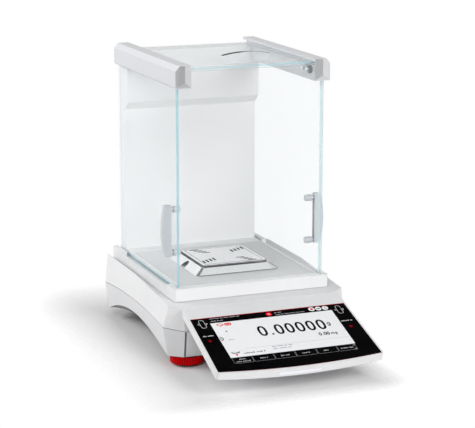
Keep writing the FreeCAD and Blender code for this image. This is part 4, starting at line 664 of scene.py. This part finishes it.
# Soft keys under the field, each in a thin frame
keys = (-76.0, -51.8, -25.9, 0.0, 25.9, 51.6, 75.2)
key_frames = []
for left, right in zip(keys, keys[1:]):
    key_frames += stroke([(left + 0.5, 82.0), (left + 0.5, 90.6), (left + 1.3, 91.4),
                          (right - 1.3, 91.4), (right - 0.5, 90.6), (right - 0.5, 82.0)], 0.28)
on_screen("key_frames", key_frames, GREY_INK, ON_GLASS)
key_print = dashes(-68.0, -58.9, 84.2, 1.7, 1) + dashes(-72.5, -54.8, 88.4, 1.7, 3)
for left, right, seed in ((-43.1, -33.2, 0), (-18.4, -7.0, 2), (8.0, 17.1, 5), (34.1, 41.3, 1),
                          (55.6, 70.7, 6)):
    key_print += dashes(left, right, 86.4, 2.0, seed)
on_screen("key_print", key_print, PALE_INK, ON_GLASS)
on_screen("key_more", stroke([(71.9, 83.6), (73.2, 82.2), (74.5, 83.6)], 0.5)
          + stroke([(71.9, 88.8), (73.2, 90.2), (74.5, 88.8)], 0.5), PALE_INK, ON_GLASS)


# ---------------------------------------------------------------- painted shade: dark lines and sheets at bends, rims, slots and joints

def lines(name, runs, look, body):
    """Flat strips. Each run is start, end, facing, width and thickness, in millimetres."""
    made = bmesh.new()
    for start, end, facing, width, thick in runs:
        start, end, facing = Vector(start) * MM, Vector(end) * MM, Vector(facing).normalized()
        side = facing.cross((end - start).normalized()) * width * MM / 2
        prism(made, (start - side, start + side, end + side, end - side), facing * thick * MM)
    bmesh.ops.recalc_face_normals(made, faces=made.faces)
    item = place_mesh(name, made, look)
    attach(item, body)


SHADE = screen_ink("line_shade", (0.004, 0.0045, 0.005))
SOFT_SHADE = screen_ink("line_soft_shade", (0.17, 0.17, 0.175))
FRONT, UP = (0, -1, 0), (0, 0, 1)

# Painted shade: a dark line on the upper edge of the top door's arched handle, bold on its near
# half
HANDLE_Y, HANDLE_TOP, HANDLE_BEND = -20.1, 359.4, 284.0
crest = [(x, HANDLE_Y, HANDLE_TOP - x * x / HANDLE_BEND) for x in range(-30, 31, 5)]
spans = list(zip(crest, crest[1:]))
lines("lid_handle_shade_line", [(a, b, FRONT, 1.3 if a[0] < -5 else 0.6, 0.15) for a, b in spans[:6]],
      SHADE, "top_door")
lines("lid_handle_far_shade_line", [(a, b, FRONT, 0.5, 0.15) for a, b in spans[6:]],
      SOFT_SHADE, "top_door")

# Painted shade: dark lines on the skirt's bends, at both front corners and the upper edge of its
# front, and a painted shadow along its foot
lines("skirt_shade_lines", [
    ((-52.2, 5.4, 88.9), (-43.0, 12.0, 96.4), (-0.55, -0.55, 0.75), 1.6, 0.25),
    ((52.2, 5.4, 88.9), (43.0, 12.0, 96.4), (0.55, -0.55, 0.75), 1.6, 0.25),
    ((-50, 4.0, 89.0), (50, 4.0, 89.0), FRONT, 0.7, 0.15),
    ((-42, 11.2, 96.5), (42, 11.2, 96.5), (0, -0.6, 0.8), 0.5, 0.15)],
    SOFT_SHADE, "skirt")

# Painted shade: dark sheets under the pan's slots, four of them in each quarter, so that the
# slots show dark
SLOT_SHADE_MIDDLE = Vector((0, 54.6, 97.2))
slots = []
for step in range(4):
    x, y = 17.8 + 5.5 * step, 10 + 3.2 * step
    for turn in range(4):
        spin = Matrix.Rotation(math.pi / 2 * turn, 3, "Z")
        slots.append((spin @ Vector((x, y - 0.6, 0)) + SLOT_SHADE_MIDDLE,
                      spin @ Vector((x, y + 11.6, 0)) + SLOT_SHADE_MIDDLE, UP, 4.2, 0.2))
lines("slot_shades", slots, SHADE, "pan")

# Painted shade: a thin dark line around the border of the pan's top face
PAN_TOP = 98.98
corners = [(x, y, PAN_TOP) for x, y in ((-41.3, 13.4), (41.3, 13.4), (41.3, 95.8), (-41.3, 95.8))]
lines("pan_border", [(a, b, UP, 0.5, 0.05) for a, b in zip(corners, corners[1:] + corners[:1])],
      SOFT_SHADE, "pan")

# Painted shade: a dark strip in the joint at each side of the base's front
lines("joint_shade_lines", [((x, -66.6, 43.4), (x, -62.6, 13.2), FRONT, 1.9, 0.1)
                      for x in (-93.3, 93.3)], SOFT_SHADE, "base")

# Red lines printed along the glass: straight at its head, bowed over a black band at its foot
BOW_RADIUS, BOW_RISE, BOW_END_RUN = 788.9, 6.3, 102.2
BOW_HALF_WIDTH, BOW_STEPS = 99.0, 32
foot_line = []
for step in range(BOW_STEPS + 1):
    x = step * 2 * BOW_HALF_WIDTH / BOW_STEPS - BOW_HALF_WIDTH
    sag = math.sqrt(BOW_RADIUS ** 2 - x * x) - (BOW_RADIUS - BOW_RISE)
    foot_line.append((x, BOW_END_RUN + sag))
on_screen("head_line", [slab(-96.3, 96.3, 0.3, 0.8)], RED_INK, ON_GLASS)
on_screen("foot_band", stroke(foot_line, 1.5), INK, ON_GLASS)
on_screen("foot_line", stroke([(x, run + 0.75) for x, run in foot_line], 0.3), DEEP_INK, ON_SIGN)


# ---------------------------------------------------------------- camera and lamps

def aim(item, position, forward, up):
    """Put a camera or lamp at a position, looking forward."""
    back = -forward.normalized()
    right = up.cross(back).normalized()
    item.matrix_world = Matrix.Translation(position) @ Matrix((
        right, back.cross(right), back)).transposed().to_4x4()


camera_data = bpy.data.cameras.new("camera")
camera_data.lens = 133.7
camera_data.sensor_width = 36
camera_data.clip_start = 0.05
camera_data.clip_end = 60
camera = bpy.data.objects.new("camera", camera_data)
scene.collection.objects.link(camera)
aim(camera, Vector((-0.7632, -1.9077, 0.6288)), Vector((0.36118, 0.90579, -0.22158)),
    Vector((0.08149, 0.20605, 0.97514)))
scene.camera = camera

LAMP_DISTANCE = 2.3
LAMP_SIZE = 1.35
LAMP_ORBIT = Vector((0, 0, 0.12))
LAMP_TARGET = Vector((0, 0, 0.15))


def shine(name, turn, rise, level):
    """A round lamp by compass bearing and height. Level 1 makes a white face white."""
    turn, rise = math.radians(turn), math.radians(rise)
    way = Vector((math.sin(turn) * math.cos(rise), math.cos(turn) * math.cos(rise),
                  math.sin(rise)))
    position = way * LAMP_DISTANCE + LAMP_ORBIT
    data = bpy.data.lights.new(name, "AREA")
    data.shape = "DISK"
    data.size = LAMP_SIZE
    data.energy = level * (math.pi * LAMP_DISTANCE) ** 2
    item = bpy.data.objects.new(name, data)
    scene.collection.objects.link(item)
    aim(item, position, LAMP_TARGET - position, Vector((0, 0.01, 1)))


shine("front_light", 157, 24, 0.56)
shine("rear_left_light", 308, 24, 0.6)
shine("front_left_light", 213, 32, 0.32)


# ---------------------------------------------------------------- surroundings

# White for what the eye, metal and glass see, a low plain light for the rest. Reflections
# find a darker ceiling above the white.
AMBIENT = 0.16
CEILING, CEILING_START, CEILING_END = 0.68, 0.45, 0.9
scene.world = bpy.data.worlds.new("world")
sky = Graph(scene.world, "ShaderNodeOutputWorld")
height = sky.axes(sky.add("ShaderNodeTexCoord").outputs["Generated"])[2]
white = sky.math("MAXIMUM", sky.span(height, 1.0, CEILING, CEILING_START, CEILING_END),
                 sky.add("ShaderNodeLightPath").outputs["Is Camera Ray"])
sky.finish(sky.mix(sky.seen(), sky.background(AMBIENT), sky.background(white)))


def sheet(name, half_size, look, upright=False):
    """A flat square around the origin, lying or upright."""
    made = bmesh.new()
    bmesh.ops.create_grid(made, x_segments=1, y_segments=1, size=half_size)
    if upright:
        bmesh.ops.rotate(made, verts=made.verts, matrix=Matrix.Rotation(math.pi / 2, 3, "X"))
    return place_mesh(name, made, look)


# The floor gives way to white beside the footprint, sooner on the right, where no shadow falls.
# Each row is an axis, where the change starts and where it ends, in metres.
FLOOR_FADE = ((0, -0.11, -0.19), (0, 0.085, 0.13), (1, -0.185, -0.222), (1, 0.2, 0.33))
g = material("floor_look")
laid = g.principled(
    Base_Color=g.blend(g.span(g.noise(30, 3), 0, 1), (0.835, 0.835, 0.84, 1),
                       (0.85, 0.85, 0.855, 1)),
    Roughness=0.8, Specular_IOR_Level=0.1)
spot = g.axes(g.place())
away = 0.0
for axis, start, end in FLOOR_FADE:
    past = g.span(spot[axis], 0, 1, start, end)
    away = g.math("ADD", away, g.math("MULTIPLY", past, past))
away = g.math("MINIMUM", g.math("SQRT", away), 1.0)
floor = sheet("floor", 1.2, g.finish(g.mix(g.math("MULTIPLY", away, g.seen()), laid, g.clear())))
floor.location.z = -0.0002

# A grey card in front, which only reflections see
g = material("card_look")
card_cover = g.add("ShaderNodeLightPath").outputs["Is Glossy Ray"]
card_paint = g.principled(Base_Color=(0.02, 0.02, 0.02, 1), Roughness=1.0)
card = sheet("grey_card", 0.5, g.finish(g.mix(card_cover, g.clear(), card_paint)), upright=True)
card.location = (-0.48, -1.75, -0.03)

scene.view_settings.view_transform = "Standard"
